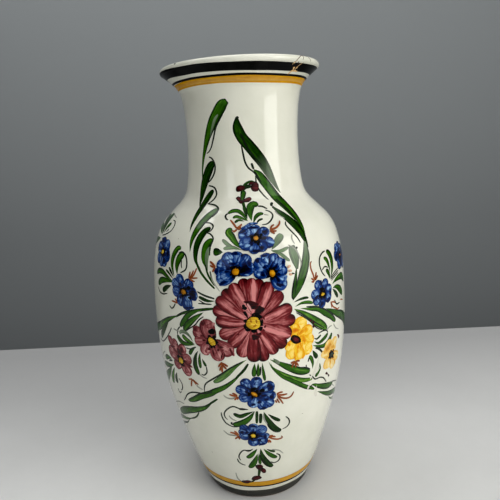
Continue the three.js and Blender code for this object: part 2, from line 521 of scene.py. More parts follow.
def stroke(piece, pigment, points, width, profile="blade", tone=0.5, edge=0.3, side=0.0,
           streak=0.0, at=0.0, root=0.0, tip=0.0, wash=(0.0, 0.0), widths=None,
           columns=None, fray=0.0):
    """One brush stroke. tone is its thickness of colour (0 thick and dark, 1 thin and light);
    edge, root and tip darken it there, side loads it across, and a streak of light runs along
    it at a place. wash thins it along its length, fray along its lower or right edge."""
    guess = sum(math.hypot(math.radians(b[0] - a[0]) * TYPICAL_RADIUS, b[1] - a[1])
                for a, b in zip(points, points[1:]))
    line, u, length = curve_through(
        points, int(np.clip(guess / ROW_STEP, FEWEST_ROWS, MOST_ROWS)))
    if widths is not None:
        half = widths(u, length)
    elif line.shape[1] == 3:
        half = line[:, 2]
    else:
        a, b = PROFILES[profile]
        peak = (a / (a + b)) ** a * (b / (a + b)) ** b
        half = width * np.clip(u, 1e-9, 1) ** a * np.clip(1 - u, 1e-9, 1) ** b / peak
    if columns:
        v = np.linspace(-1, 1, columns)
    else:
        v = np.array(LINE_COLUMNS if width < LINE_WIDTH else COLUMNS)
    painted.append(dict(
        kind="stroke", piece=piece, pigment=pigment, line=line, u=u, length=length,
        half=np.maximum(half, THINNEST), v=v, fray=fray, seed=rng.random() * SEEDS,
        look=(tone + rng.normal() * 0.03, edge, side, streak, at, root, tip), wash=wash))


def dab(piece, pigment, where, size, turn=0.0, tone=0.5, edge=0.25, wobble=0.09, grain=None):
    """A round touch of the brush: its two half sizes in mm, turned by degrees. The hairs run
    along it, or in the direction grain."""
    turn = math.radians(turn)
    painted.append(dict(
        kind="dab", piece=piece, pigment=pigment, where=where, size=size, turn=turn,
        grain=turn if grain is None else grain, seed=rng.random() * SEEDS, tone=tone,
        edge=edge, wobble=wobble, phases=rng.random(3) * 2 * math.pi))


def centre_points(item):
    """Points along the middle of a stroke or dab, and its half width at each."""
    if item["kind"] == "dab":
        angle, z = item["where"]
        middle = on_surface(np.array([angle]), along(np.array([z])))
        return middle, np.array([max(item["size"])])
    every = slice(None, None, max(1, len(item["u"]) // 60))
    return on_surface(item["line"][every, 0], item["line"][every, 1]), item["half"][every]


def stack():
    """How many touches lie below each one, so that none shares its height with another."""
    spots = [centre_points(item) for item in painted]
    middles = np.array([p.mean(0) for p, _ in spots])
    reach = np.array([(np.linalg.norm(p - p.mean(0), axis=1) + w).max() for p, w in spots])
    layers = np.zeros(len(painted), int)
    for i, (p, w) in enumerate(spots):
        far = np.linalg.norm(middles[:i] - middles[i], axis=1)
        for j in np.nonzero(far < reach[:i] + reach[i] + NEAR)[0]:
            if layers[j] < layers[i]:
                continue
            q, x = spots[j]
            gaps = np.linalg.norm(p[:, None] - q[None], axis=2) - w[:, None] - x[None]
            if gaps.min() < TOUCHING:
                layers[i] = layers[j] + 1
    return layers


def stroke_mesh(item, lift):
    """Vertices, faces, and five numbers for each vertex: its tone, its wash and its place
    under the brush."""
    line, u, half, v = item["line"], item["u"], item["half"], item["v"]
    t, r = line[:, 1], radius(line[:, 1])
    dx, dt = np.gradient(np.radians(line[:, 0])) * r, np.gradient(t)
    size = np.hypot(dx, dt)
    left = np.stack([-dt / size, dx / size], 1)
    across = half[:, None] * v[None]
    angle = line[:, :1] + np.degrees(left[:, :1] * across / r[:, None])
    down = t[:, None] + left[:, 1:] * across
    dome = lift - DIP * (v**4)[None] + 0 * across
    ends = [0, -1]
    top = on_surface(angle, down, dome)
    under = on_surface(angle[:, ends], down[:, ends], -SUNK)
    rows, cols = across.shape
    a = np.arange(rows * cols).reshape(rows, cols)
    b = rows * cols + np.arange(rows * 2).reshape(rows, 2)
    quads = np.concatenate([
        np.stack([a[:-1, :-1], a[1:, :-1], a[1:, 1:], a[:-1, 1:]], -1).reshape(-1, 4),
        np.stack([a[1:, 0], a[:-1, 0], b[:-1, 0], b[1:, 0]], -1),
        np.stack([a[:-1, -1], a[1:, -1], b[1:, 1], b[:-1, 1]], -1),
        np.stack([b[1:, 0], b[:-1, 0], b[:-1, 1], b[1:, 1]], -1),
    ]).tolist()
    quads.append([*a[0].tolist(), int(b[0, 1]), int(b[0, 0])])
    quads.append([*a[-1][::-1].tolist(), int(b[-1, 0]), int(b[-1, 1])])
    tone, edge, side, streak, at, root, tip = item["look"]
    run = (u * item["length"])[:, None]
    to_end = np.minimum(u * item["length"], (1 - u) * item["length"])[:, None]
    value = (tone + side * v[None] - edge * smooth(np.abs(v), 0.45, 1)[None]
             + streak * np.exp(-(((v - at) / 0.34) ** 2))[None] * smooth(u, 0, 0.2)[:, None]
             - root * (1 - smooth(u, 0.05, 0.5))[:, None] - tip * smooth(u, 0.7, 1)[:, None]
             - edge * (1 - smooth(to_end, 0, 0.8)))
    wash = np.interp(u, np.linspace(0, 1, len(item["wash"])), item["wash"])[:, None]
    wash = wash + 0 * across + item["fray"] * smooth(-v, 0.75, 1.2)[None]
    looks = np.stack([value, wash, run + 0 * across, across, item["seed"] + 0 * across], -1)
    return (np.concatenate([top.reshape(-1, 3), under.reshape(-1, 3)]), quads,
            np.concatenate([looks.reshape(-1, 5), looks[:, ends].reshape(-1, 5)]))


def turned_by(x, y, angle):
    """Flat coordinates turned by an angle."""
    c, s = math.cos(angle), math.sin(angle)
    return x * c - y * s, x * s + y * c


def dab_mesh(item, lift):
    """The same for a dab: a middle vertex, rings round it, and the underside of the last."""
    (angle, z), (wide, tall) = item["where"], item["size"]
    turns = np.linspace(0, FULL_TURN, DAB_POINTS, endpoint=False)
    one, two, three = item["phases"]
    rim = 1 + item["wobble"] * waves(turns, ((1, 2, one), (0.7, 3, two), (0.4, 5, three)))
    rings = DAB_RINGS[:, None] * rim
    x, y = turned_by(rings * wide * np.cos(turns), rings * tall * np.sin(turns), item["turn"])
    x, y = np.concatenate([[0], x.ravel()]), np.concatenate([[0], y.ravel()])
    t = along(z)
    share = np.concatenate([[0], np.repeat(DAB_RINGS, DAB_POINTS)])
    angles, ts = angle + np.degrees(x / radius(t)), t + y
    top = on_surface(angles, ts, lift - DIP * share**3)
    under = on_surface(angles[-DAB_POINTS:], ts[-DAB_POINTS:], -SUNK)
    here = np.arange(DAB_POINTS)
    following = (here + 1) % DAB_POINTS
    faces = [[0, 1 + i, 1 + j] for i, j in zip(here.tolist(), following.tolist())]
    a, b, c, d = (1 + k * DAB_POINTS for k in range(4))  # where each ring starts
    for low, high in ((a, b), (b, c)):
        quads = [low + here, high + here, high + following, low + following]
        faces += np.stack(quads, 1).tolist()
    faces += np.stack([c + following, c + here, d + here, d + following], 1).tolist()
    faces.append((d + here[::-1]).tolist())
    value = item["tone"] - item["edge"] * share**2 + 0.12 * x / wide
    brush = (*turned_by(x, y, -item["grain"]), item["seed"] + 0 * x)
    looks = np.stack([value, np.zeros(len(value)), *brush], 1)
    return np.concatenate([top, under]), faces, np.concatenate([looks, looks[-DAB_POINTS:]])


def build_paint():
    """Gathers the strokes into pieces, one for each group of strokes in one colour."""
    nodes = {piece: [node] for piece, node, *_ in BANDS}
    groups = {}
    for item, layer in zip(painted, stack()):
        build = dab_mesh if item["kind"] == "dab" else stroke_mesh
        made = build(item, BASE_LIFT + LAYER_LIFT * layer)
        groups.setdefault((item["piece"], item["pigment"]), []).append(made)
    for (piece, pigment), parts in groups.items():
        material, slot = PAINTS[pigment]
        faces, start = [], 0
        for vertices, part_faces, _ in parts:
            faces += [[k + start for k in face] for face in part_faces]
            start += len(vertices)
        vertices, looks = (np.concatenate([part[k] for part in parts]) for k in (0, 2))
        made = make(f"{piece}_{pigment}", vertices, faces, material, slot,
                    *nodes.get(piece, ()))
        for name, kind, field, data in (("tone", "FLOAT", "value", looks[:, 0]),
                                        ("wash", "FLOAT", "value", looks[:, 1]),
                                        ("brush", "FLOAT_VECTOR", "vector", looks[:, 2:])):
            attribute = made.data.attributes.new(name, kind, "POINT")
            attribute.data.foreach_set(field, data.astype(np.float32).ravel())


# ---- the wheel-painted bands -------------------------------------------------------------

# Each band: its piece, the CAD node it stands for, its pigment, its edges as rows of angle,
# lower height and upper height, and its look.
BANDS = (
    ("foot_line", "foot_line", "black", "10 10.8 11.9 / 190 9.6 10.7", dict(tone=0.4, edge=0.1)),
    ("foot_ochre", "foot_ochre_band", "ochre", "30 11.9 16 / 210 11.1 15.2",
     dict(tone=0.55, edge=0.3, wash=(0.04, 0.04))),
    ("rim_ochre", "rim_ochre_band", "ochre", """
        -75 233.3 236.2 / -55 233.5 236.4 / -37 233.6 236.8 / -17 233.7 236.8
        0 233.3 236.7 / 17 233 236.4 / 37 232.9 236.1 / 75 232.9 236""",
     dict(tone=0.45, edge=0.05, fray=0.25, columns=15)),
    ("rim_line", "rim_line", "black", """
        -75 236.4 237.2 / -37 236.5 237.4 / -15 236.5 237.4 / 0 236.4 237.3
        17 236.1 236.9 / 37 235.9 236.8 / 75 235.9 236.7""", dict(tone=0.4, edge=0.1)),
    ("rim_black", "rim_band", "black", """
        -75 239.2 243.1 / -62 239.1 243 / -44 238.6 242.6 / -30 238.7 242.6 / -15 238.55 242.3
        0 238.2 241.75 / 15 237.95 241.3 / 30 237.9 241.1 / 55 237.9 241.1 / 75 238 241.3""",
     dict(tone=0.45, edge=0.2, columns=31)),
)
BAND_START, BAND_TURN = 150, 366  # degrees: it starts behind and overlaps itself
BAND_POINTS = 150
BAND_SWAY = 0.05  # mm
BAND_WAVES = 24  # changes of width in a turn

# Damage at the right of the rim: chips under the hairline cracks, as angle, height, half sizes
# and turn.
CHIPS = """45 238.1 1.5 .7 15 / 42.6 237.4 1.2 .5 40 / 47.6 238 1.3 .5 -10
    43.4 239 .7 .9 10 / 46 239.2 .5 .8 -10 / 40.2 241.2 .35 .6 30"""


def paint_band(piece, pigment, edges, columns=9, **look):
    """A band painted while the vase turned, so it sways."""
    rows = np.array([floats(row) for row in table(edges)])
    angles = np.linspace(BAND_START, BAND_START + BAND_TURN, BAND_POINTS)
    low, high = (np.interp(angles, rows[:, 0], along(rows[:, k]), period=360) for k in (1, 2))
    sway = BAND_SWAY * np.sin(np.radians(angles * 7))
    middle = np.interp((low + high) / 2 + sway, ALONG, HEIGHT)
    uneven = 0.03 * rng.normal(size=BAND_WAVES)

    def widths(u, _length):
        ends = np.minimum(smooth(u, 0, 0.01), smooth(1 - u, 0, 0.02))
        half = np.interp(BAND_START + BAND_TURN * u, angles, (high - low) / 2)
        return half * ends * (1 + np.interp(u, np.linspace(0, 1, BAND_WAVES), uneven))

    stroke(piece, pigment, list(zip(angles, middle)), 1.0, widths=widths, columns=columns,
           **look)


def paint_rim_and_foot():
    for piece, _node, pigment, edges, look in BANDS:
        paint_band(piece, pigment, edges, **look)
    paint_strokes(["rim_crack"])
    for row in table(CHIPS):
        angle, z, wide, tall, turn = floats(row)
        dab("rim_chip", "chip", (angle, z), (wide, tall), turn, 0.95, 0.35, 0.3)
    paint_strokes(["rim_chip"])
    dab("rim_nick", "black", (-47, 244.4), (0.55, 0.4), 20, 0.3, 0.1, 0.2)


# ---- leaves, curls and stamens -----------------------------------------------------------

# How each kind of stroke is painted: its colour and its look.
STYLES = {
    "leaf": ("green", dict(tone=0.54, edge=0.46, side=0.1)),
    "deep": ("green", dict(tone=0.32, edge=0.34, side=0.1)),
    "fresh": ("green", dict(tone=0.68, edge=0.42, side=-0.12)),
    "olive": ("green", dict(tone=0.6, edge=0.3, wash=(0.0, 0.12))),
    "grey": ("green", dict(tone=0.46, edge=0.3, wash=(0.16, 0.34))),
    # These two thin the green to cream where their leaves cross the window's reflection on the
    # shoulder and the neck: partly thin paint, partly a painted reflection.
    "fade": ("green", dict(tone=0.5, edge=0.4, wash=(0.0, 0.0, 0.1, 0.35))),
    "tail": ("green", dict(tone=0.4, edge=0.34, wash=(0.2, 0.2, 0.0, 0.0, 0.0))),
    # Pale streaks over the leaves at the right of the belly: a painted reflection of the window.
    "scuff": ("scuff", dict(tone=0.5, edge=0.1)),
    "stalk": ("green", dict(profile="line", tone=0.3, edge=0.15)),
    "ink": ("ink", dict(profile="line", tone=0.42, edge=0.05)),
    "inkleaf": ("ink", dict(tone=0.3, edge=0.15)),
    "mist": ("ink", dict(profile="line", tone=0.6, edge=0.05, wash=(0.3, 0.5))),
    "rust": ("rust", dict(profile="line", tone=0.45, edge=0.1)),
    "rustpale": ("rust", dict(profile="line", tone=0.8, edge=0.1, wash=(0.2, 0.3))),
    "wine": ("manganese", dict(profile="drop", tone=0.32, edge=0.25)),
    "highlight": ("mauve", dict(profile="line", tone=0.9, edge=0.1)),
    "crack": ("chip", dict(profile="line", tone=0.05, edge=0.0)),
    "scratch": ("chip", dict(profile="line", tone=1.0, edge=0.1)),
}

# Each line is a stroke: its style, its greatest half width in mm, or one for each point with
# commas between, then its points, angle and height. A backslash carries a long one on.
STROKES = {
    "left_frond": """
leaf .3,.4,.7,1.2,1.9,2.6,2.8,2.6,1.3 -42.5 186 -43.5 191 -42.5 197 -39.5 203 -35 209.5 -29 215.5 \
-23 220 -17 224 -12.5 225.6
grey .7 -33 208 -29.5 213 -25.5 217.5 -22 219.6
ink .42 -17.4 219.6 -20.5 217.4 -25.2 213.6 -28.6 208.4 -31.6 204.1 -34.4 202 -37.5 201
deep 2.6 -40 174.5 -41.8 178 -42 182 -40 187 -37 191 -33.5 194.5 -29.5 197
ink .45 -35 199.4 -31.5 198.6 -28.3 195.5 -28.4 192.4 -31 189.3 -34.5 187.2 -37.7 186.3
deep 1.8 -37 163.5 -38 168 -38 172.5 -36.3 177 -33 180.5 -29.5 183
ink .42 -35.1 185.1 -30 184.5 -27.6 183.5 -26 180.8 -27.6 178.7 -30 177.3 -33.2 176.1
leaf 2.2 -33.7 154.3 -33.5 160 -32 165 -29.5 169 -26 172 -22.2 174.2
ink .45 -33.2 176.3 -27.1 175.9 -24.3 175.4 -21.7 174.2 -21.9 172.5 -24.3 170.4
deep 1.9 -26 146.5 -29 150 -29.8 155 -28.8 160 -26 164.3 -22.8 166
stalk .6 -18 137.5 -23 142 -26.5 146 -28.8 150 -29.6 154
ink .4 -30 168 -27.1 168 -23.8 167.8 -21.4 166.6 -22.2 164.7 -25.2 163.7
leaf 1.9 -22.6 147 -24.3 151 -24.3 154 -23 158.5 -19.8 161
grey 1.1 -21.8 146 -22.6 150 -22.4 154 -21 157.5
stalk .5 -18 139 -21.5 144 -23.4 149
ink .4 -25 163.7 -22.4 163.3 -19.8 161.4 -21 157.1 -21 153.3
ink .35 -20.5 146 -19.8 143 -18.6 140.2
mist .35 -20 145 -19.2 141.7 -15.4 136.3""",
    # Its first leaf and the long leaf up its right side thin out where they cross the window's
    # reflection: partly thin paint, partly a painted reflection.
    "right_frond": """
tail .2,1.3,2.2,2.7,2.9,2.8,2.7,2.4,.6 32.6 180 28 185 23.5 190 18.5 195 11 200.5 5 204.5 -1 208.5 \
-4.4 213 -4.6 217.8
ink .5 -4.6 216.4 -4.2 217.8 -2.7 217.4
inkleaf .55 17.5 193.7 11 198 4 203 -2 210.3
ink .45 -1.5 204.6 -.1 199.8 1.4 196 4.2 193.2 8 191.5 10.4 189.9
leaf .2,1.2,2.3,2.7,2.6,2.4,2.3,1.8,.3 35.5 160 35.5 165 34.3 170 31.5 174.5 27 178.5 22 183 17 \
187 13 190 9 192.3
inkleaf .7 35 163 33.6 169 30.4 173.8 26 177.4
inkleaf .6 16 185.5 12.5 188.3 9.4 191.6
ink .6 7.1 195.6 8.2 193.6 9 192.5
ink .38 10.2 189.5 10.5 186 12 183 15 180.3 19.5 177.2
deep .2,.9,2.0,2.3,1.5,.5 35.2 153.8 34.6 156.5 32.8 162 29.5 167 25 171 20.7 174
ink .7 20.2 174.2 21 175.4 22.4 175.4
mist .3 21 172 23.5 169.8 26 168.2
fade .2,1.6,2.4,2.5,2.1,.6 22.3 129.5 25.5 134.5 28.5 140 31.3 146 33 151 33.6 157
deep 1.2 25.8 146 24.8 141 23.4 135.5 22.2 130
grey .6,2.2,2.5,1.6 26 144.5 25.6 149 25 153 24.5 156
mist .35 22.6 156.6 26.4 154.2 28.3 150.4 28.8 147.1 27.8 144.7
ink .5 27.2 154.4 28 155
ink .4 25.7 167.1 24.7 165.6 27.4 161.8 29.3 159.5 30.7 156.6
mist .35 26.6 161.1 25.7 159.5 26.2 157.6 26.9 156.6""",
    "berry_sprig": """
stalk .75 .2 170.9 -1.5 175.1 -2.9 179.4 -2.4 182.3 -.1 185.1 3.3 186.3 7.1 186.5 9.9 185.1
leaf 1.3 -2.6 175.5 -2.6 178.5 -1.5 180.8 -.4 182.3
deep 1.0 -1.5 182 1 184 5.6 184.4
deep .9 .6 169.4 -.4 172.4 -1.6 175.4""",
    "crown": """
leaf 1.2 .8 168.5 -2.5 171.5 -6 173 -10 173 -13.3 172
ink .45 -13.3 172 -14.6 171.1 -13.6 169.7 -12.2 169.2
leaf .9 .9 168.5 -3.4 169.9 -7.2 170.6 -9.1 169.9
deep .7 -1.5 168.5 -5.3 169 -7.7 168
leaf 2.0 3.3 168.5 2.8 172.3 4.2 175.1 7.1 175.6 9.4 174.7
ink .45 9.4 174.7 12.8 174.4 16.1 173.2
ink .42 14.2 172.8 17.5 171.8 18.5 170.4 16.6 168.5 12.8 166.8 9.4 166.6
leaf 1.1 4.2 167.5 6.6 170.2 9.4 171.3 12.3 171.3
mist .3 12.3 171 15.6 170.4
deep .6 6.1 167.1 8 168.5 10.9 169.2
leaf 1.8 -2.7 156.4 -6.2 159 -9.1 162.3 -11 164.2 -9.3 165.8
grey 1.0 -3.4 156.1 -9.1 157.6 -14.3 160.9
deep 1.9 -13.6 155 -16.5 155.2 -19 155.2
grey 1.0 -3.4 156 -8 157.2 -13.4 156.7
grey 1.9 12.8 155.2 15.6 158 18.5 160.4 20.4 161.8
grey .9 12.3 155 17.5 154.2 22.6 155.5
grey .9 12.5 154.8 17.5 152.8 20.4 150.4 22.3 149""",
    "left_leaves": """
ink .5 -18.3 132.5 -23.75 133.75 -28.3 135.4
deep .9 -18.3 131.25 -22.5 131.25 -27.5 132.9
ink .35 -20 129.6 -23.75 129.6 -27.5 131.25
ink .35 -20 129.6 -27.9 129.4
stalk .8 -18.75 127.5 -23.75 126.7 -30 125.4 -38.3 122.9 -44.6 119.6
leaf 2.4 -42 121 -50.8 117.1 -56.7 113.75 -63.3 110 -71.7 106.25 -77.9 102.9
leaf 1.6 -25 126.7 -30 125 -35 122.1 -38.75 117.9 -41.25 115
ink .4 -41.25 115 -43.3 112.9 -44.2 110
leaf 1.8 -25 125 -30 121.7 -34.2 118.3 -37.5 115 -38.3 113.3
ink .35 -25 122.9 -27.9 120.8 -30.4 117.9 -34.2 115.4 -37.9 112.9
deep 1.8 -50.8 116.7 -55 112.5 -59.2 108.3 -62.5 105 -64.2 102.1
ink .38 -49.2 112.5 -51.25 109.6 -53.3 107.5 -55 105.8 -59.2 102.5 -63.3 100.4 -69.6 100
leaf 1.6 -44.4 141 -46.8 147.1 -45.8 152.3 -42.5 155.7 -40.6 155.2
leaf 2.0 -42 142.4 -42.5 147.1 -40.6 151.4 -37.7 153.3
ink .45 -42 153.3 -39.2 154 -36.3 152.3 -35.1 148.6 -35.8 145.7 -39.6 143.6
ink .35 -39 150 -39.2 148.1 -38.6 146
deep .8 -45 140.8 -47.1 142.9 -49.6 145.2
deep .7 -45.4 139.6 -49.2 142.1 -52.7 143.5
leaf 1.6 -45 137.9 -50.8 140 -56.7 141.7 -61.7 141.25 -65.4 139.2
leaf 1.8 -45.8 137.9 -52.9 137.9 -58.3 136.7 -62.9 133.75
deep 1.5 -47.3 136 -51.7 134.2 -56.7 131.25
ink .4 -63.75 132.1 -61.25 130 -56.7 129.6 -53.3 130.4 -51.25 131
ink .4 -65.3 159.5 -59.6 160.9 -55.3 162.8 -54.4 165.2 -57.2 167.1 -61.5 167.5
leaf 1.5 -64.3 160.9 -63.4 163.7 -60.5 166.1
ink .4 -61 161.8 -59.1 163.3
leaf 2.8 -66 160 -68.1 163.7 -70.5 167.5 -70 170.2
mist .35 -70 170.2 -64.8 169.4 -58.6 168.7
leaf 2.0 -67 160 -74 162.5 -82 163.5
leaf 2.0 -67 158 -75 156 -82 153.5
deep 2.0 -66 160.5 -73 166 -80 169""",
    "left_fans": """
leaf 1.4 -31.7 106.7 -36.25 106.25 -40.4 106.25 -43.3 108.3 -44 110
leaf 1.3 -32 107.2 -35 107.9 -38.3 109.2 -40 110.8
grey 1.0 -32.9 108.3 -34.6 110.8 -37.5 112.5 -40.8 112.3 -42.1 110.8
mist .35 -47.1 112.5 -44.5 112.1 -41.7 112.1
leaf 1.1 -31.25 105.8 -33.75 103.75 -36.25 100.4
ink .38 -31 105.5 -35 103.75 -38.3 103.75
deep 1.5 -30 103.75 -32.1 100 -32.9 94.6 -31.7 90.8 -31 89.6
leaf 1.0 -28.75 102.9 -29.6 99.2 -29.6 93.75
deep .8 -27.9 99.6 -27 97.5 -25.8 95.4
ink .4 -25.8 95.4 -25.8 92.1 -27.9 90 -29.6 90.4
mist .38 -30.8 90 -28.75 88.75 -26.25 88.3
leaf 1.6 -53.3 93.3 -58.3 92.5 -63.3 90.4
ink .6 -52.9 92.1 -55.4 91.4 -57.5 90.4
leaf 1.8 -51.7 90 -56.7 87.9 -63.3 86.25 -68.75 85
leaf 2.5 -55 87.9 -60 82.9 -64.2 79.6 -69.6 75.4 -73.75 72.5
leaf 1.6 -51.7 88.3 -55 83.3 -57.1 79.2 -57.5 76.25
deep 1.3 -50 85.8 -51.7 82.5 -52.1 78.3
ink .42 -49.2 82.5 -46.9 80 -47.1 77.1 -49.2 74.6
ink .35 -53.3 74.6 -51.7 72.5 -49.2 73.7
mist .4 -62.1 94.6 -66.25 92.1 -71.7 87.9""",
    "left_swags": """
olive 1.6 -3.3 100.8 -9.2 97.1 -14.2 92.5 -19.6 88.3 -22.5 86.7
ink .45 -5 100 -11.7 96.25 -17.5 92.1 -22.5 88.75 -27.5 85 -28.75 82.5 -29.2 79.6
leaf 1.9 -5 95 -10 89.6 -16.25 84.6 -22.5 81.25 -25 79.6 -32.1 76.25 -38.3 72.5 -43.75 70
stalk .7 -2.6 98.6 -5 95 -10 89.8
ink .45 -24 80.5 -30 78.3 -34.2 77.9 -39.2 76.7 -43.3 74.2 -46.7 70.4 -48.75 68.3
leaf 2.5 -24 75 -25.8 73.3 -30.8 69.2 -35.8 66.7 -42.5 64.2 -50.8 60.8 -57.1 57.5 -62.5 54.6
stalk .6 -21.25 76.7 -25.8 73.3 -30.8 69.4
leaf 1.6 -44.6 57.5 -49.2 55.4 -55 53.3 -61.25 51.7 -67.5 49.2 -72.5 46.7 -78 44
stalk .5 -36.7 64.2 -40 60.4 -44.6 57.5 -49.2 55.4
deep .8 -49.2 55 -55 50.4 -61.25 47.5 -71.7 42.5
mist .4 -50 65.4 -56.7 64.2 -62.5 61.7 -71.7 57""",
    "right_swags": """
leaf 2.2 8.75 100 13.75 97.1 20 93.3 26.25 90 32.5 88.3
grey .9 10.4 100.4 12 98.8 13.75 96.9
fresh 1.4 9 98 10 95.5 16 90.5 22 86.8 28 84.2 34.5 83
leaf 1.3 7.9 99 10 95 15 89.6 20 86.25 25 82.9 30 79.6 34.2 77.5 36.7 75.8
leaf 2.0 39.6 73.3 45 70.4 50.8 67.5 57.5 65 65.8 62.5 72 58.3
leaf 2.0 32.9 78.3 35 79.2 40 76.7 45 74.6 51.25 72.5 56.7 71.7
grey 1.0 53.75 64.2 59.2 60.4 65 57.9 72.1 54.2
ink .35 24.2 92.5 29.6 91.25 32.5 89.6
leaf 1.1 34.2 89.2 34.2 92.5 32.9 95.8 31.7 97.5
ink .4 30.8 94.2 31.2 95.5 31.7 96.7
ink .35 29.6 92.9 30 90.8 32.5 89.6
deep 1.3 33.75 100 35.8 96.7 37.5 94.6
ink .6 35.8 100.8 38.75 99.2 42.1 95.8
leaf 1.2 39.6 90.8 40 87.5 38.3 85 36.7 83.3
ink .4 32.1 86.25 34.6 84.2 36.7 82.1 40.8 81.7 43.75 80.4 45.8 78.3 47.5 76.25
ink .35 55.4 73.3 59.6 71.7 65 69.6
mist .35 56.7 70.8 58.5 69.4 60.8 67.9""",
    # Pale streaks across the leaves at the right of the belly: a painted reflection of the window
    # in the glaze.
    "scuffs": """
scuff .8 38.8 95 37.6 91 36.4 87.6 35 84.6
scuff .6 36 88 34.4 86.4 33 83.2
scuff .7 33 80.6 32.2 79.2 31.6 77.6
scuff .8 38.6 77.8 38 75 38.2 72.6 39 70.4
scuff .4 40.4 89 38.6 86.6 37 85.4""",
    "right_leaves": """
deep .7 22.5 128.3 26.25 129.2 30 129.4 31.9 129
leaf .9 23.3 126 27.5 127.1 31.7 126.7 34.6 125.6
fresh 2.3 22.5 125 27 122.5 32 118.8 37 115 41.5 111.8 45 108.8
ink .4 23.4 124 28 120.8 33 117 38.5 113 43 109.8
leaf 1.8 26.25 124.6 32.5 122.9 38.75 121.25 43.3 118.3 49.2 114.6 52.5 111.7 54.2 110.4
ink .5 30 124.6 36 123.4 41 121.4 46.6 118 51.5 114 54.2 110.8
leaf 2.9 44.2 120.4 49.2 117.9 55.4 114.6 61.7 111.7 67.9 108.3 72 104.6 76.25 100
grey 1.0 70 109.2 73.5 108 77.5 106.25
deep .6 34.6 106.7 36.7 105.6 40 106.9
leaf 1.2 35 104.6 37.9 102.9 41.7 103.75 45 105.4 45.8 106.25
ink .4 45.8 106.25 45 107.9 41.7 108.75 37.9 108.3
leaf 1.4 33.75 102.9 37.5 101.25 42.5 100 46.7 101.25 49.2 103.75 49.4 105.2
mist .35 45 108.3 47.5 109.2 50 109.2
mist .35 51.7 109.6 54.6 106.25 58.75 104.2
leaf 2.0 51.7 131.7 55.8 132.9 61.7 133.3 66.7 132.5 70.8 128.75
leaf 2.0 52.1 129.6 56.25 129.2 61.7 126.25 65.8 122.5
deep 1.3 51.7 129.2 55.4 125.8 57.9 122.9
leaf 1.2 50 134.6 48.75 138.3 46.7 140.8
leaf 1.7 50.6 135.6 52.9 139.6 53.3 145 51.7 148.3 49.2 149.8
ink .45 48.3 150 45.4 149.5 42.6 147.6 41.6 144.3 42.9 140 45.4 137.3
leaf 1.1 50.4 138.3 49.6 142.5 47.9 145.8 45.8 146.9
ink .38 43.1 141 45.8 142.3 48.75 141.25
ink .35 50.4 135.4 54.6 137.1 60.8 138.4
ink .35 50.4 134.6 54.8 136 61 137.2
ink .3 51 133.8 55 135 61 136""",
    "stems": """
leaf 1.2 .8 98.6 .3 95 0 91
leaf 1.0 2.5 98.6 2.4 95 2.3 91
ink .4 3.75 96.5 3.6 94 3.3 91.7
leaf .8 4.6 98.6 5 94 5.8 88.3
leaf 2.0 -.4 70 -4.2 65 -9.2 61.7 -14.2 60.4
ink .6 -13.6 60.6 -14.8 61.2 -14.6 62.3
deep 1.3 -.8 70 -5 68.3 -9.2 66.7 -12.9 68.3
stalk .8 .8 70 .6 66 .4 61.7
stalk .9 2.9 68.3 2.8 65 2.5 61.7
deep 2.0 4.6 69.2 7.1 63.3 10 58.3 13.3 55.4 15.8 54.8
mist .4 4.6 68 4.6 65 6.7 60.4
deep 1.1 7.1 67.5 10.8 64.2 14.6 61.7
ink .42 -4.2 71.25 -8.3 71.5 -12.5 72.9 -16.25 70.8 -18.5 67.5 -17.9 64.6 -16.7 63.75
inkleaf .7 -4 71.4 -6.5 71.4 -9.4 71.6
ink .42 -20.4 68.3 -20.2 65 -18.3 61.25 -14.2 59.2 -10 59.6
mist .38 -15.8 66.7 -14.2 64.6 -11.25 63.3
ink .4 17.9 64 20 61.7 20.8 59.2 19.6 56.7 16.25 55.4""",
    "pendant": """
leaf 1.5 0 43.3 -2.5 40.4 -5.4 37.5 -7.9 36.25
leaf 1.8 0 39.2 -2.1 33.75 -5 29.6 -7.1 28.3
leaf .9 1 39.6 1.25 35.4 1.7 30.8
deep 1.9 2.1 43.3 3.3 37.5 6.25 32.1 10 28.75 11.7 28.3
leaf 1.4 4.2 42.9 7.9 38.75 11.7 35.8 14.2 34.6
deep .8 6.25 42.5 9.2 40.8 12.5 39.6
mist .4 10 41.7 15 40 18.75 36.7
ink .42 -2.9 43.3 -5.4 41.7 -9.2 42.1 -12.1 39.6 -13.5 36.25 -12.5 33.75
inkleaf .7 -3 43.2 -5 42 -8 41.8
ink .42 -15 35 -14.2 32.5 -11.7 30.6 -9.2 30.2
ink .42 13.3 37.9 15.8 36.25 16.5 33.75 15 31.5 12.1 30.8 9.5 32
stalk .8 .9 28 .7 24.6 .2 21
mist .4 -14.2 15 -17.5 17.1 -18.5 20 -18.5 22.9
stalk .6 -2.8 18 -5 16.4 -8 15.2""",
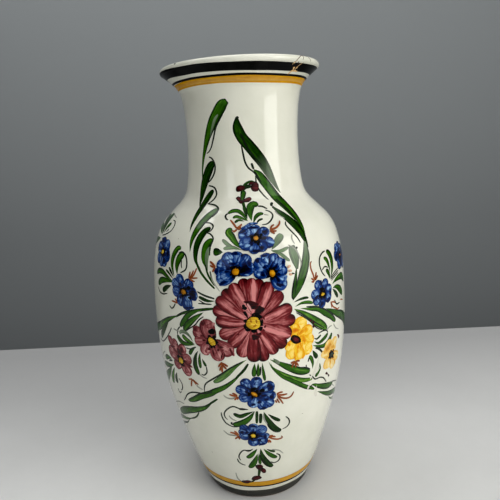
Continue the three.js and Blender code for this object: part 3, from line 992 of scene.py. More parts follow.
    "stamens": """
rust .5 -6 165.5 -8.4 167.6 -10.8 169.3
rust .45 -6 165.5 -4.4 166.2 -3 167.2
rust .4 -6 165.4 -4.6 165.2 -3.5 165.8
rust .4 -6 165 -7.6 164.2 -8.6 164.6
rust .45 13.5 164.2 17.5 164.7 20.4 166.1 21.5 167.5
rust .4 14 164.6 15.4 165.6 17 166.1
rust .4 13.8 164 15.8 163.4 17.5 163.3
rust .4 13.6 163.8 15 162.8 16.1 162.3
rust .5 -17.6 148.1 -19 149.6 -20.5 150.7
rust .45 -17.6 148 -19 148.2 -20.5 148.8
rust .45 -17.6 147.8 -18.4 146.6 -19 145.7
rustpale .55 20.6 145.8 21.5 146.6 22.2 146.4
rustpale .55 20.8 144.2 21.8 144.4 22.6 144
rustpale .55 21 142.8 22.3 142.4 23.2 142.8
ink .35 22.6 143 24.2 142.5
rust .42 -33.75 141.7 -30.8 142.9 -28.3 147.1
rust .4 -32.6 142.2 -31.2 144 -30.4 145.8
rust .4 -33.4 142 -32.9 143.6 -32.5 145
rust .4 -32.6 141.8 -30 142 -27.7 142.3
rust .4 -33 141.4 -31 140.6 -29.6 140.2
rust .45 -42.1 127.5 -44.6 127.8 -47.1 127.9
rust .4 -42.3 127.6 -43.2 128.8 -44.2 129.6
ink .35 -44 127 -45.8 124.6 -47.5 123.75 -49.4 124.8
rust .42 36.7 136.7 36 140 34.8 143.3 34.8 145.8 36 146.9
rust .5 37 137.4 37.8 139.4 38.3 141
rust .45 37 137 38.4 138.2 39.2 139.2
rust .45 36.6 137 35.4 137.8 34.4 138.5
rust .45 36.4 136.5 35.4 136.5 34.4 136.7
rust .42 49.2 122.9 51.2 119.6 54 117.9 57 116.4 59.6 116.7
rust .4 49.2 122.6 49.8 120.8 50 119.2
rust .4 50 122.4 52.6 121.6 54.6 120.4
ink .4 53.3 122.5 55.8 119.6 60 119.2
rust .38 61.7 120.4 64.4 119.6 66.7 118.75
rust .5 -16.7 99.2 -16.6 96.2 -16.7 93.3
rust .45 -16.7 98.6 -17.8 97.4 -18.5 96.25
rust .45 -16.7 97 -17.4 95.6 -17.9 94.2
rust .45 -16.4 98.6 -14.8 97.8 -13.3 96.9
rust .45 -16.4 97.4 -15.2 96.4 -14.2 95.4
rust .45 -36.7 85.8 -37.6 83.4 -38.3 80.8
rust .4 -36.9 85.8 -38.4 85.2 -39.6 85
rust .4 -36.4 85.4 -35.2 84.2 -34.2 82.9
rust .4 -36.2 85.6 -34.2 84.2 -32.5 83.3
mist .35 -34 82.6 -32.9 81.7 -30 80.8
ink .35 23.75 122.9 28.3 119.6 32.5 116.25 35 113.3 37.5 111.25 40.8 109.6
wine .9 31.6 116.7 33.2 116.8
wine .9 33.4 115.6 35 115.2
wine .9 33.6 113.6 35 113.1
rust .5 22.5 96.7 21.4 95.2 20.6 93.4
rust .5 22.5 96.7 21.2 96.4 20 96
rust .5 22.6 96.6 22.9 94.6 22.9 92.9
rust .5 22.8 96.7 24.2 96.6 25.4 96.25
rust .45 22.6 96.6 23.8 95 24.6 93.6
wine .8 56.7 101.7 58.6 100.2 60.4 98.3
wine .7 48.75 80.4 47.2 81.6 45.8 82.5
wine .6 48.75 80.8 49.4 79.6 50 78.75
mist .38 -9.6 79.6 -12.5 77.9 -15.8 78.3 -17.5 79.8
rust .5 -9.6 79.8 -11 80.8 -12.3 81.25
rust .5 -9.6 79.6 -12 79.8 -14 80.4
rust .5 -9.4 79.4 -10.4 78.2 -11.25 77.1
rust .4 -9.2 79 -9.4 78.2 -9.6 77.5
rust .45 12.1 79.2 15 76.7 18.75 75.8 20.8 76.7 22.1 79
rust .45 12.1 79.6 14 80.2 15.6 80.2
rust .5 12.2 79.2 15 78.4 18.3 78.5
rust .42 12.4 78 14.4 75.4 16 72.7
rust .4 12.2 76.6 13 75 13.75 73.75
rust .4 11.4 75.8 12.1 74.2
mist .4 -11.25 52.9 -15 52.9 -18.3 53.3 -21 55.6
rust .5 -11.4 53.4 -12.6 55 -13.75 56.25
rust .5 -11.6 53 -14 54.4 -16.7 55
rust .5 -11.2 52.8 -12.6 51.6 -14 50.4
rust .5 -11 52.6 -11.2 51.4 -11 50.4
rust .45 7.5 51.25 10.8 49.6 14.2 48.75 16.7 49.4 16 50.8
rust .45 7.6 51.6 9 52.2 10.4 52.1
rust .5 8 51.2 10.2 51.4 12.1 51
rust .5 7.6 49.4 8.6 48.2 9.2 47.1
rust .4 7.2 49 7.6 48 7.9 47.1""",
    "rim_crack": """
crack .15 39.5 241.4 41 242.6 43.5 244 46.5 245.2 49.5 245.6
crack .15 49.5 245.6 52.5 244.9 55 243.8 56.5 242.6
crack .15 46.5 245.2 47.6 244.2 46.6 242.8
crack .15 43 241.9 44.8 240.6 45.6 239.4
crack .15 45.8 239.4 48 240.4 49.4 241.6""",
    "rim_chip": """
scratch .17 41.6 242.4 40 241.2 39.4 240.2
scratch .17 47.6 241.2 46.6 240.2 45.8 239.6""",
    "daisy": """
highlight .5 -1.6 130.4 -.4 128.2 .4 126.2
highlight .5 -2.2 127 -1 126 .2 125.4""",
}


def piece_name(name, turn):
    return "back_" + name if turn else name


def paint_strokes(names, turn=0.0, up=0.0):
    """Paints groups of strokes, turned round the vase and moved up."""
    for name in names:
        for style, width, *words in table(STROKES[name]):
            pigment, look = STYLES[style]
            halves, values = floats(width.split(",")), floats(words)
            points = [(a + turn, z + up) for a, z in zip(values[::2], values[1::2])]
            if len(halves) > 1:
                points = [(*point, w) for point, w in zip(points, halves, strict=True)]
            stroke(piece_name(name, turn), pigment, points, max(halves), **look)


# ---- flowers -----------------------------------------------------------------------------

# Each flower: its colour, its eye (angle, height, half sizes, slant, colour), its petals as the
# angle, height and radius of each round end, and touches of the brush on them: tone (k for
# black), angle, height, half sizes and slant. The daisy only has its place in the order here.
FLOWERS = {
    "yellow_flower_right": ("straw", (50.4, 92, 1.7, 1.3, 0, "ink"), """
    47.3 98.4 3.8 / 53.4 98.6 3 / 42.6 94.4 2.2 / 47 87.4 3 / 52.5 85.8 3.2 / 57 88.8 3""", """
    0 47.3 97.6 3.4 2 10 / .1 52 96 2.4 1.2 -20 / k 52.8 89.6 1.7 .6 -25 / 1 53.5 99 1.8 1.2 20
    .9 47.4 86.8 1.2 1.8 10 / .1 49.6 88.6 .7 2.2 15 / .2 55 87 .7 2.4 25"""),
    "yellow_flower": ("yellow", (23, 108.7, 2.5, 1.35, -40, "wine"), """
    26.2 116.2 4 / 22.2 114.2 3.2 / 30.6 111.6 3.2 / 31.6 106.8 3.1 / 30.2 101.8 3.3
    25.2 100.2 3.2 / 20.8 101.6 3.5 / 19.7 105.4 2.8""", """
    -.2 23.2 113.6 1.9 1.2 -10 / .1 26.8 112.2 1.6 1.1 30 / 0 28 107.6 1 2.2 20
    .1 29.4 112.6 .9 1.4 0 / 1 27 117.4 2 1 20 / 1 20.4 101.4 1.2 2 20 / 1 25.2 99.8 1.1 1.8 0
    .95 30.6 103 1.4 1.8 -20 / -.3 19.2 106.8 .7 .8 0 / 0 24.4 104.4 .7 1.2 20
    .1 26.6 104.6 .6 1.5 -20 / .95 32 108.4 1.2 1.3 0 / .1 28.2 99.6 .5 2 -15
    .1 22.6 99.2 .45 2 10"""),
    "red_flower_left": ("mauve", (-43.7, 95, 1.9, 1.9, 0, "olive"), """
    -52 105 2.3 / -47.3 104 2.9 / -40.8 102 3 / -38.3 97.2 3.2 / -39.4 90.6 3.6 / -46.8 91.6 3.3
    -51 98 4""", """
    -.2 -43.6 99.8 2.1 1.5 0 / -.1 -41.6 101.6 1.4 1.4 0 / 1 -52 99.4 1.6 1.2 -10
    .95 -50.6 96 1.8 1 10 / 1 -38 97.8 1.3 .8 20 / .95 -39.4 90.4 1.5 1.4 0
    .95 -46.8 91.2 1.5 1.2 0 / 0 -39.6 95.6 1.2 .5 0 / 0 -41.2 93 .6 1 20 / .8 -47.6 104.6 1.4 .9 20
    0 -49.6 101.6 1.7 .4 20 / 0 -36.6 93.6 1.2 .4 -20"""),
    "daisy": None,
    "red_flower": ("mauve", (-21, 110.1, 1.8, 2.3, 28, "olive"), """
    -28.6 114 3.5 / -28 109.4 3.3 / -22.6 117.6 4.3 / -24.2 104.8 3.1 / -13.2 106.8 4
    -18 103.6 3.9""", """
    k -20.8 115.5 1.9 1.5 0 / 0 -25.2 119.6 1.6 1 40 / 0 -30 115.6 1.2 1.5 -20
    .9 -21.4 118.6 1.7 1 20 / .85 -28.8 113.4 1.3 1 0 / 1 -17.8 103 1.8 1.6 0
    1 -14.4 107.2 1.5 1.4 0 / 1 -23.8 105 1.1 1.1 0 / -.1 -16.2 107.4 .9 .7 0 / 0 -22.4 106 .9 .7 0
    0 -25.4 110.2 .9 .5 0 / -.1 -10.6 105 .6 1.6 20 / .1 -20.4 104 .4 2 10 / .1 -15.6 103.6 .4 2 -20
    -.1 -17.6 106 .7 .5 20"""),
    "blue_flower_far_left": ("cobalt", (-58.3, 151.9, 1.5, 1.1, 0, "olive"), """
    -59.6 156.4 3.2 / -54.2 155.4 3.3 / -52.8 150.9 3.2 / -55 147.6 3.1 / -58.8 147 3
    -63.2 148.6 3 / -63.8 153.6 3.2""", """
    0 -59.6 157.4 2.4 1 0 / 0 -52 152 1.4 2.2 0 / 0 -55 147.6 2 1.4 20 / .9 -55.4 152.2 1.2 .5 0
    .85 -62.6 151.6 1.8 .5 10 / .9 -60.4 148.4 .6 1.6 10 / .9 -62.4 154.8 1.6 .6 -20
    .8 -55.6 155.6 1.6 .5 -20 / .85 -58 147.4 .5 1.6 0 / -.1 -56 150.6 1.6 1.1 0
    .8 -64.4 149 1 1.2 0"""),
    "blue_flower_mid_left": ("cobalt", (-37.2, 134.2, 1.6, 1.35, -15, "amber"), """
    -40 140.2 3 / -43.4 137.8 2.9 / -42.8 134 3.1 / -33.4 138 3.2 / -30.8 133.4 2.8 / -40 130 3.2
    -34.4 129.2 3.8""", """
    k -33 136.4 1.8 1.2 -20 / -.3 -31 133.8 2 2.2 20 / .8 -40.4 140.4 1.4 .9 20
    .85 -42.8 134.6 1.3 1.3 0 / .9 -40 130.2 1.2 1.4 0 / 1 -34.8 131 1.5 1.1 10
    .9 -36 128.4 .8 1.2 0 / .85 -32.6 128.6 .6 1.6 -10 / 0 -38.6 137.6 1.6 1 10
    .8 -43.8 138 .9 1.1 0 / .75 -34.6 139.4 1 .8 0 / k -33 131.6 1 .8 0 / -.1 -39.4 131.6 .7 1 0
    0 -33.4 126.4 2 .5 10"""),
    "blue_flower_left": ("cobalt", (-6.8, 146, 1.75, 1.7, 0, "amber"), """
    -1 147 3.8 / -13.6 148.6 3.2 / -10.4 152 3.4 / -5.8 152.4 3.2 / -1.5 151 3.2
    -13.2 143.4 3.9""", """
    -.3 -1.4 147.2 2.6 2.4 0 / k -2.8 146.6 1.3 1.3 0 / 1 -10.8 152.6 2 1.1 10
    .95 -9.8 150.6 1.2 1.2 0 / .9 -15.2 149.2 .9 1 0 / .9 -12.8 148.4 .6 1.5 20
    .95 -13.2 143.8 1.4 1.8 20 / .8 -15.8 143.6 .6 1.6 10 / 0 -6.6 154.4 1.5 .8 0
    .85 -4.6 151.6 .8 1.3 -10 / .85 -1.2 151.8 .9 1 0 / 0 .4 149.6 1 1.4 0 / 0 -13 140.6 2 .7 15
    0 -16.6 146.2 .8 1.4 0 / 0 -10.2 147.4 1.3 .9 20 / .75 -1.6 144.2 1.4 .4 0 / 0 -8 149.6 1.5 .7 0
    0 -11 146 1 .5 10"""),
    "blue_flower_right": ("cobalt", (11.8, 144.2, 1.35, 1.8, 0, "amber"), """
    5.4 144.8 3 / 5.8 149 3.1 / 9.3 151.1 3 / 13.2 150.8 3 / 16.2 148 3.2 / 17.2 145.2 2.8
    16.6 140 3.6""", """
    1 16.8 141.4 1.8 1.2 0 / -.2 14.6 140.8 .9 1.4 20 / -.2 15.8 138.2 1.6 .8 -20
    .85 18.2 139.4 .8 1.6 0 / 1 5.4 146.4 1.3 .9 10 / -.2 7.2 144 1 1.2 30 / .9 4.6 144.2 .7 1 0
    .9 6.8 149.4 .7 1.4 30 / -.1 4.8 150.8 1.2 .8 30 / 1 9 150.4 1.3 1 -30 / .9 12.4 151 1.2 .9 20
    .9 14.8 149.6 1 1.1 40 / 0 8.6 152.8 1.4 .6 10 / 0 11 149.8 .5 1.4 0 / .9 16.2 147 1.1 1 -30
    0 14.4 147 .8 1.4 -40 / .9 17.8 145.2 .7 1.2 0 / 0 8.8 147.6 1.1 .8 0
    0 18.4 148.6 .8 1.2 0"""),
    "blue_flower_top": ("cobalt", (4.8, 160.9, 1.3, 1.1, 0, "amber"), """
    -1.8 162.2 3 / 1 164.2 3.1 / 4.6 164.6 2.7 / 9.8 163.2 2.8 / 11.6 159.2 2.9 / -.8 159 3.6
    7.8 157.2 2.8 / 3 156.8 3""", """
    -.1 -2.2 164 1.6 .8 25 / -.1 4 165.4 2 .6 0 / .8 -.6 166.2 1.9 .4 30 / .75 3.6 167.2 2 .35 0
    .9 -3.4 162.2 1 1 0 / .85 .6 163 .7 1.2 -20 / .85 2.8 163.6 .5 1 0 / 1 12.4 159.2 1.5 1.2 0
    -.2 10.6 163.4 1.3 1.1 0 / .8 9.4 164.4 1.1 .35 -10 / .95 -1.2 159.8 1.3 .9 10
    .9 -.6 157.8 1.2 .7 0 / -.3 9 160.4 1.5 .8 0 / k 5.9 158.4 .9 .9 0 / k 7.9 162.2 .8 .7 0
    -.1 4.6 155.2 2 .7 0 / .85 1.8 156.4 .8 .8 0 / -.1 7.6 156.6 1.2 .9 0 / .8 7 158 .4 .7 0
    -.1 2.4 158.8 .9 .9 0"""),
    "blue_flower_mid_right": ("cobalt", (42, 128.6, 1.5, 0.9, 0, "olive"), """
    38.8 134 2.7 / 44 133.8 2.8 / 47.6 130 3 / 46.4 125.7 3 / 41.4 124.2 2.8 / 37.6 126.2 2.8
    36.3 129.8 2.7""", """
    k 41.6 131.4 1.6 1 0 / k 40 128.6 .9 1.2 0 / k 44.4 128 .9 1 0 / .9 38 134.2 1 1 0
    .9 44.2 134 1.2 .9 0 / 1 47 130.6 1 1 0 / .9 46 126.4 .7 1.1 0 / 0 46.8 124.4 1.5 1 0
    0 41.2 123.6 1.5 1 0 / .9 37.8 126.4 .5 1.2 20 / .95 36 130.4 1.1 .8 0 / 0 37.4 128 1 .8 0
    0 49 128.4 1 1.2 0 / 0 41.4 134.6 .6 1.2 0"""),
    "blue_flower_far_right": ("cobalt", (66.8, 144.2, 1.4, 0.6, 0, "rust"), """
    60.4 145.2 3.1 / 62.8 148.6 3 / 66.4 149 2.8 / 71.6 147 3.4 / 73.6 142.8 3.4 / 71 139.4 3.2
    63.6 140.4 3.4""", """
    0 60.4 144.6 2 1.6 0 / -.1 64.4 145.4 2.2 1 0 / .9 62.6 148.8 1.4 .9 0 / 0 66.4 146.8 2 .9 0
    0 67 141 3 1.8 0 / .8 62.6 140.4 1.2 1 0 / .8 69 148.6 1.8 .6 0 / 0 72 144 2.4 1.2 0"""),
    "blue_flower_lower": ("cobalt", (-0.2, 80.8, 2, 1.05, -40, "amber"), """
    -4.3 87.6 2.9 / 1.4 88 3 / 7.3 84.8 3.5 / 8.6 79.5 3 / 7.2 74.8 3.2 / 3.4 73.5 3.1
    -1.2 75.4 3.1 / -5.8 79 3 / -7.2 83.8 2.9""", """
    k -.4 84 1.4 .9 0 / k 4.2 82.9 1.2 1.1 0 / 0 8.6 84.2 1.5 2 0 / .85 5.4 85.6 1.4 .7 40
    1 7.6 75.2 1.2 1.3 30 / .95 3.6 74.6 .8 1.2 0 / .85 1.2 87 1.1 .7 0 / .8 -4.4 86.6 1.1 .8 30
    .8 -6.6 83.4 .9 .9 0 / .75 -6 78.6 1 1 0 / .85 -1.6 76.2 1 .8 0 / -.1 2.6 76 .9 .9 0
    -.1 6.4 77 1 .8 0 / -.1 -1.2 74.4 .9 .7 0 / 0 9.6 78.6 1 1.4 0 / -.1 4.8 79.4 1.7 .7 0
    .8 3.2 84.4 .4 1.2 -30 / 0 -5.6 89.2 1.3 .6 30 / 0 1.6 89.9 1.5 .6 0 / -.1 -4 82.6 .7 1 0
    0 4.8 71.8 1.6 .6 20"""),
    "blue_flower_lowest": ("cobalt", (-2.2, 53.3, 1.3, 1.5, 0, "olive"), """
    -7.4 58.6 2.6 / -2 59 2.9 / 3 57.2 3.4 / 5 53 2.7 / 3 48.6 3.2 / -2 48.6 3.3 / -7.4 52.6 3.1
    -8.4 55.8 2.5""", """
    .8 3 56.4 1.6 .9 -20 / .75 4.4 53.8 1 .6 20 / 1 1.8 51.4 1.3 .35 20 / .85 3.6 49.4 .9 1.1 0
    k 2 49.9 .7 .6 0 / .9 -2 48.4 1.2 .9 0 / -.1 -2.2 50 1.1 .6 0 / .85 -7 53.4 1.1 1 0
    0 -8.6 55.6 1 1 0 / .75 -4.8 57.4 .6 1.2 40 / 0 -1.8 60 1.6 .7 0 / 0 5.4 52 .8 1.4 0
    0 3.6 46.8 1.4 .6 20 / -.1 -5.8 55.6 1 .7 0 / .8 -1.2 57.6 .8 .7 0 / .8 -9.6 53.8 .4 .9 0"""),
}
PETAL_LOOKS = {  # thickness of colour, darker edge, darker root
    "cobalt": (0.6, 0.22, 0.34), "mauve": (0.62, 0.26, 0.12), "yellow": (0.66, 0.3, 0.16),
    "straw": (0.64, 0.16, 0.3),
}
GROUND_DARKER = 0.26  # the ground of a flower against its petals
TOUCH_SPREAD = 1.4  # a soft touch against the sizes in its table
BLOTS = 7  # round an eye
BLOT_LOOK = dict(tone=0.35, edge=0.1)


def metric(a, b):
    """From one point (angle, height) to another, in mm to the right and up the surface."""
    ta, tb = along(a[1]), along(b[1])
    return math.radians(b[0] - a[0]) * float(radius((ta + tb) / 2)), float(tb - ta)


def offset(a, dx, dy):
    """The point (angle, height) that lies dx mm to the right of a and dy up the surface."""
    t = along(a[1])
    angle = a[0] + math.degrees(dx / float(radius(t + dy / 2)))
    return angle, float(np.interp(t + dy, ALONG, HEIGHT))


def lobe(piece, pigment, eye, centre, size, look):
    """A round petal, from beside the eye to a half-circle about its centre."""
    dx, dy = metric(eye, centre)
    reach = max(math.hypot(dx, dy), 0.1)
    dx, dy = dx / reach, dy / reach
    start, end = 0.2 * reach, reach + size
    bend = rng.normal() * 0.4
    points = [offset(eye, dx * s - dy * b, dy * s + dx * b)
              for s, b in ((start, 0), ((start + end) / 2, bend), (end, 0))]

    def widths(u, _length):
        s = start + u * (end - start)
        round_end = np.sqrt(np.maximum(size**2 - np.maximum(s - reach, 0) ** 2, 0))
        return round_end * (0.7 + 0.3 * smooth(s, start - 1, reach)) * smooth(u, -0.02, 0.05)

    tone, edge, root = look
    stroke(piece, pigment, points, size, widths=widths, tone=tone + rng.normal() * 0.05,
           edge=edge, side=rng.normal() * 0.08, streak=rng.uniform(0.0, 0.2),
           at=rng.uniform(-0.45, 0.45), root=root)


def eye_marks(name, where, size, colour, slant=0.0):
    """Dark blots round the eye, then the eye itself, with two specks on its edge."""
    wide, tall = size
    for k in range(BLOTS):
        a = math.radians(k * 360 / BLOTS + rng.uniform(-16, 16))
        spot = offset(where, (wide + 0.7) * math.cos(a), (tall + 0.7) * math.sin(a))
        blot = rng.uniform(0.6, 1.05)
        dab(name, "black", spot, (blot, blot * 0.8), math.degrees(a), wobble=0.1, **BLOT_LOOK)
    dab(name, "black", where, (wide + 0.65, tall + 0.65), slant, wobble=0.05, **BLOT_LOOK)
    dab(name, colour, where, size, slant, 0.62, 0.25, 0.05)
    for _ in range(2):
        a = rng.uniform(0, FULL_TURN)
        spot = offset(where, wide * math.cos(a), tall * math.sin(a))
        dab(name, "black", spot, (0.3, 0.25), 0, 0.3, 0.1, 0.1)


def paint_flower(flower, turn=0.0, up=0.0):
    """Its ground, petals, touches and eye, turned round the vase and moved up."""
    pigment, (angle, z, wide, tall, slant, colour), petals, touches = FLOWERS[flower]
    name = piece_name(flower, turn)
    eye = (angle + turn, z + up)
    petals = [floats(row) for row in table(petals)]
    tone, edge, root = PETAL_LOOKS[pigment]
    middle = np.mean(petals, axis=0)
    for a, h, size in petals:  # a dark ground first, so that no cream shows between them
        inner = (0.3 * (middle[0] - a) + a + turn, 0.3 * (middle[1] - h) + h + up)
        lobe(name, pigment, eye, inner, size * 0.92, (tone - GROUND_DARKER, 0.1, 0.1))
    for a, h, size in petals:
        lobe(name, pigment, eye, (a + turn, h + up), size, (tone, edge, root))
    for shade, *words in table(touches):
        a, h, w, t, slope = floats(words)
        place = (a + turn, h + up)
        if shade == "k":
            dab(name, "black", place, (w, t), slope, 0.3, 0.1, 0.1)
        else:  # a soft touch, which ends in the petal's own tone
            change = float(shade) - tone
            soft = tone + change * (0.5 if change > 0 else 0.7)
            dx, dy = metric(eye, place)
            dab(name, pigment, place, (w * TOUCH_SPREAD, t * TOUCH_SPREAD), slope, soft,
                soft - tone + 0.04, 0.14, grain=math.atan2(dy, dx))
    if colour == "wine":
        dab(name, "black", eye, (wide + 0.8, tall + 0.7), slant, wobble=0.06, **BLOT_LOOK)
        dab(name, "manganese", eye, (wide, tall), slant, 0.5, 0.4, 0.06)
    else:
        eye_marks(name, eye, (wide, tall), colour, slant)


DAISY_EYE = (1, 120.2)
DAISY_GROUND = (14, 14.5)  # half sizes of the dark ground
# Its petals: direction in degrees, length and half width in mm.
DAISY_PETALS = """101 23 2.9 / 90 22.6 3 / 80 22.3 2.8 / 66 22 3.5 / 44 20.8 3.6 / 17 20.9 3.4
    -1.5 21.7 3.2 / -23.5 20.9 3.6 / -41 21.3 3.2 / -58 20.3 3 / -76 21.4 3 / -91 20.8 3.6
    -112 19.2 3.4 / -136 17.3 3.3 / -158 18.6 3.4 / 176 18.9 3.4 / 160 21.3 3.2
    144 21.9 3.2 / 130 22.2 3.1 / 116 22.5 3.1"""
# Dark touches on them: pigment, angle, height, half sizes, turn and tone.
DAISY_SHADES = """manganese .2 130.2 3.6 1.2 -10 -.2 / manganese 4.2 126.6 2.1 2.4 30 -.4
    manganese 2.2 128.6 1.8 1.5 0 -.3 / black -3.2 128.4 1.1 1.4 0 .6
    manganese 1.7 112.9 1.6 1.8 0 -.3 / manganese 3.6 114.2 1.3 1 20 -.2
    black -2.6 125 .8 1.6 20 .3 / black 3.2 124.4 1.8 .9 -20 .3
    manganese 6.8 118 .6 .6 0 0 / manganese 6.2 116 .5 .8 30 0
    manganese -6.6 114.6 .8 .4 30 0 / manganese 6.4 122.6 .6 .9 0 0"""
# Dots round the eye (angle, height, half sizes), and touches on it (the same, and a turn).
DAISY_DOTS = """-2 116.8 1.2 .8 / -3.2 118.6 .7 1.4 / 4.6 117.2 1.1 1 / 5.3 120.6 .6 1.6
    1.2 116 1.6 .6 / 4.6 123.2 1 .8"""
DAISY_YOLK = """-.2 121.6 .5 1.1 20 / 1.6 118.8 1.2 .4 30 / -1.2 120 .9 .35 0
    2.6 121 .4 .9 0"""


def paint_daisy():
    """The big red flower: long petals from its eye, each with a dark rim and a pale streak."""
    petals = [floats(row) for row in table(DAISY_PETALS)]
    dab("daisy", "manganese", DAISY_EYE, DAISY_GROUND, 0, 0.3, 0.0, 0.02)
    for direction, length, half in petals[::2] + petals[1::2]:  # every second one on top
        a = math.radians(direction)
        points = [offset(DAISY_EYE, s * math.cos(a + b), s * math.sin(a + b))
                  for s, b in ((2.6, 0), (length * 0.5, rng.normal() * 0.02), (length, 0))]

        def widths(u, length, half=half):
            s = length * (1 - u)
            tip_end = np.sqrt(np.clip(1 - np.maximum(half - s, 0) ** 2 / half**2, 0, 1))
            return half * tip_end * (0.46 + 0.54 * smooth(u, 0, 0.72))

        stroke("daisy", "manganese", points, half, widths=widths,
               tone=0.62 + rng.normal() * 0.07, edge=0.2, side=rng.normal() * 0.08,
               streak=rng.uniform(0.05, 0.4), at=rng.choice([-0.35, -0.2, 0.2, 0.4]),
               root=-0.14, tip=0.24)
    for pigment, *words in table(DAISY_SHADES):
        angle, z, wide, tall, turn, tone = floats(words)
        dab("daisy", pigment, (angle, z), (wide, tall), turn, tone + 0.34, -0.16, 0.2)
    paint_strokes(["daisy"])
    for row in table(DAISY_DOTS):
        angle, z, *size = floats(row)
        dab("daisy", "black", (angle, z), size, rng.uniform(-30, 30), 0.3, 0.1, 0.14)
    eye_marks("daisy", DAISY_EYE, (3.3, 3.4), "olive")
    for row in table(DAISY_YOLK):
        angle, z, wide, tall, turn = floats(row)
        dab("daisy", "amber", (angle, z), (wide, tall), turn, 0.45, 0.1, 0.2)


# Each berry: angle, height, half sizes and turn.
BERRIES = """-4.3 183.5 2.2 1.7 20 / -5.6 178.4 1.6 1.1 -35 / -3.8 177.1 1.3 1 -30
    1.4 177.8 2.3 1.3 15 / 9 183.9 2.2 2.4 0 / 6.1 185.8 1.3 .9 0 / .9 28.6 2.1 2.3 0
    3.6 25.8 1.3 3.2 28 / -1.8 19.3 3.2 1.9 16 / -10.9 15.6 2.8 1.6 4"""
LEAVES = ("left_frond", "right_frond", "berry_sprig", "crown", "left_leaves", "left_fans",
          "left_swags", "right_swags", "right_leaves", "stems", "pendant")


def paint_front():
    paint_strokes(LEAVES)
    for name in FLOWERS:
        if name == "daisy":
            paint_daisy()
        else:
            paint_flower(name)
    for row in table(BERRIES):
        angle, z, wide, tall, turn = floats(row)
        dab("berries", "manganese", (angle, z), (wide, tall), turn, 0.34, 0.28, 0.08)
    # The pale streaks over the right-hand leaves are a painted reflection of the window.
    paint_strokes(["stamens", "scuffs"])


def paint_back():
    """The photograph doesn't show the back. A small sprig there is a guess."""
    turn, up = 180, 24
    paint_strokes(["stems", "pendant"], turn, up)
    for name in ("blue_flower_lower", "blue_flower_lowest"):
        paint_flower(name, turn, up)


# ---- light, stage and camera, in metres --------------------------------------------------

def around(azimuth, elevation, distance):
    """A place seen from the vase at an azimuth from the front, positive to the right."""
    a, e = math.radians(azimuth), math.radians(elevation)
    return (distance * math.sin(a) * math.cos(e), -distance * math.cos(a) * math.cos(e),
            0.2 + distance * math.sin(e))


LOW, MIDDLE = (0, 0, 0.14), (0, 0, 0.12)
WARM, COOL, SOFT = (1.0, 0.99, 0.95), (0.97, 0.99, 1.0), (1.0, 1.0, 0.99)
# Each light: its name, place, target, size, power and colour.
LIGHTS = (
    ("Window", around(59, 13, 0.9), LOW, (0.46, 0.74), 3.4, (1.0, 0.99, 0.96)),
    ("Second window", around(-27, 21, 1.1), LOW, (0.27, 0.62), 1.05, (0.95, 0.98, 1.0)),
    ("Room right", around(40, 30, 1.7), MIDDLE, (1.5, 1.3), 4.5, WARM),
    ("Room front", around(15, 28, 1.7), MIDDLE, (1.5, 1.2), 3.2, COOL),
    ("Ceiling", (0.3, -0.35, 1.5), (0, 0, 0.1), (1.6, 1.4), 4.0, COOL),
    ("Back ceiling", (0, 0.35, 1.5), (0, 0.1, 0), (1.6, 0.6), 4.8, SOFT),
    ("Front ceiling", (0, -0.9, 1.3), (0, -0.5, 0), (1.8, 0.6), 3.2, SOFT),
    ("Wall light", (-0.6, 0.2, 1.5), (-0.6, 0.9, 0.2), (1.2, 0.4), 5.4, (1, 1, 1)),
)


def add_light(name, where, target, size, power, colour):
    data = bpy.data.lights.new(name, "AREA")
    data.shape, data.size, data.size_y = "RECTANGLE", *size
    data.energy, data.color = power, colour
    lamp = bpy.data.objects.new(name, data)
    lamp.location = where
    lamp.rotation_euler = (Vector(target) - Vector(where)).to_track_quat("-Z", "Y").to_euler()
    bpy.context.scene.collection.objects.link(lamp)


def slab(name, low, high, material):
    """A box on the stage, with softened edges."""
    mesh = bpy.data.meshes.new(name)
    x, y, z = zip(low, high)
    corners = [(a, b, c) for a in x for b in y for c in z]
    mesh.from_pydata(corners, [], [(0, 1, 3, 2), (4, 6, 7, 5), (0, 4, 5, 1), (2, 3, 7, 6),
                                   (0, 2, 6, 4), (1, 5, 7, 3)])
    mesh.materials.append(material)
    piece = bpy.data.objects.new(name, mesh)
    bpy.context.scene.collection.objects.link(piece)
    edge = piece.modifiers.new("Edge", "BEVEL")
    edge.width, edge.segments = 0.004, 4


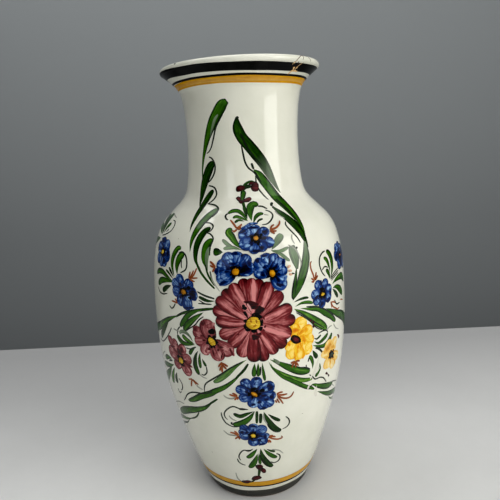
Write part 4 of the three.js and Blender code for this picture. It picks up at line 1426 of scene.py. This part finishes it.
def stage_material(name, base, shade, far, roughness):
    """A matt surface, clouded, and darker towards the back of the room: painted shade."""
    n = Nodes(name, roughness, 0.25)
    where = n.place()
    cloud = n.noise(where, 7, 6, 0.65)
    grain = n.noise(where, 340, 3, 0.6)
    colour = n.blotch(cloud, 0.3, 0.75, 1, base, shade)
    # Painted shade: the darker far colour takes over towards the back.
    back = n.add("ShaderNodeSeparateXYZ", 1, {"Vector": where})
    colour = n.mix(n.clamp(n.scale_add(back, 3.0, 0.42)), colour, far)
    return n.finish(colour, n.scale_add(grain, 0.3, cloud), 0.25, 0.0006)


def build_stage():
    # The table's far colour is much darker than its near ones: painted shade towards the back of
    # the room.
    table_top = stage_material(
        "Pale table", srgb(242, 242, 240), srgb(228, 228, 226), srgb(176, 176, 176), 0.6)
    wall = stage_material(
        "Grey wall", srgb(166, 170, 172), srgb(156, 160, 162), srgb(161, 165, 167), 0.9)
    slab("Table", (-1.4, -1.6, -0.03), (1.4, 0.218, -0.0001), table_top)
    slab("Wall", (-2.5, 0.9, -1.2), (2.5, 0.93, 2.2), wall)
    for light in LIGHTS:
        add_light(*light)
    world = bpy.data.worlds.new("Room")
    world.use_nodes = True
    background = world.node_tree.nodes["Background"]
    background.inputs["Color"].default_value = srgb(150, 151, 153)
    background.inputs["Strength"].default_value = 0.06
    bpy.context.scene.world = world
    view = bpy.context.scene.view_settings
    view.view_transform, view.exposure, view.gamma = "Standard", 0.12, 0.86


def build_camera():
    """The photograph's viewpoint: near the vase, a little above its middle and turned a little."""
    yaw, pitch, roll = 0.0081, 0.2607, -0.0452
    place = (0, -0.2822, 0.2063)
    data = bpy.data.cameras.new("Camera")
    data.sensor_width, data.lens = 36, 35.42
    data.shift_x, data.shift_y = -0.0056, 0.0444
    data.clip_start = 0.01
    forward = Vector((math.sin(yaw) * math.cos(pitch), math.cos(yaw) * math.cos(pitch),
                      -math.sin(pitch)))
    right = Vector((math.cos(yaw), -math.sin(yaw), 0))
    up = right.cross(forward)
    x = right * math.cos(roll) + up * math.sin(roll)
    y = -right * math.sin(roll) + up * math.cos(roll)
    camera = bpy.data.objects.new("Camera", data)
    rotation = Matrix((x, y, -forward)).transposed().to_4x4()
    camera.matrix_world = Matrix.Translation(place) @ rotation
    bpy.context.scene.collection.objects.link(camera)
    bpy.context.scene.camera = camera


# ---- everything together -----------------------------------------------------------------

build_body()
paint_rim_and_foot()
paint_front()
paint_back()
build_paint()
build_stage()
build_camera()
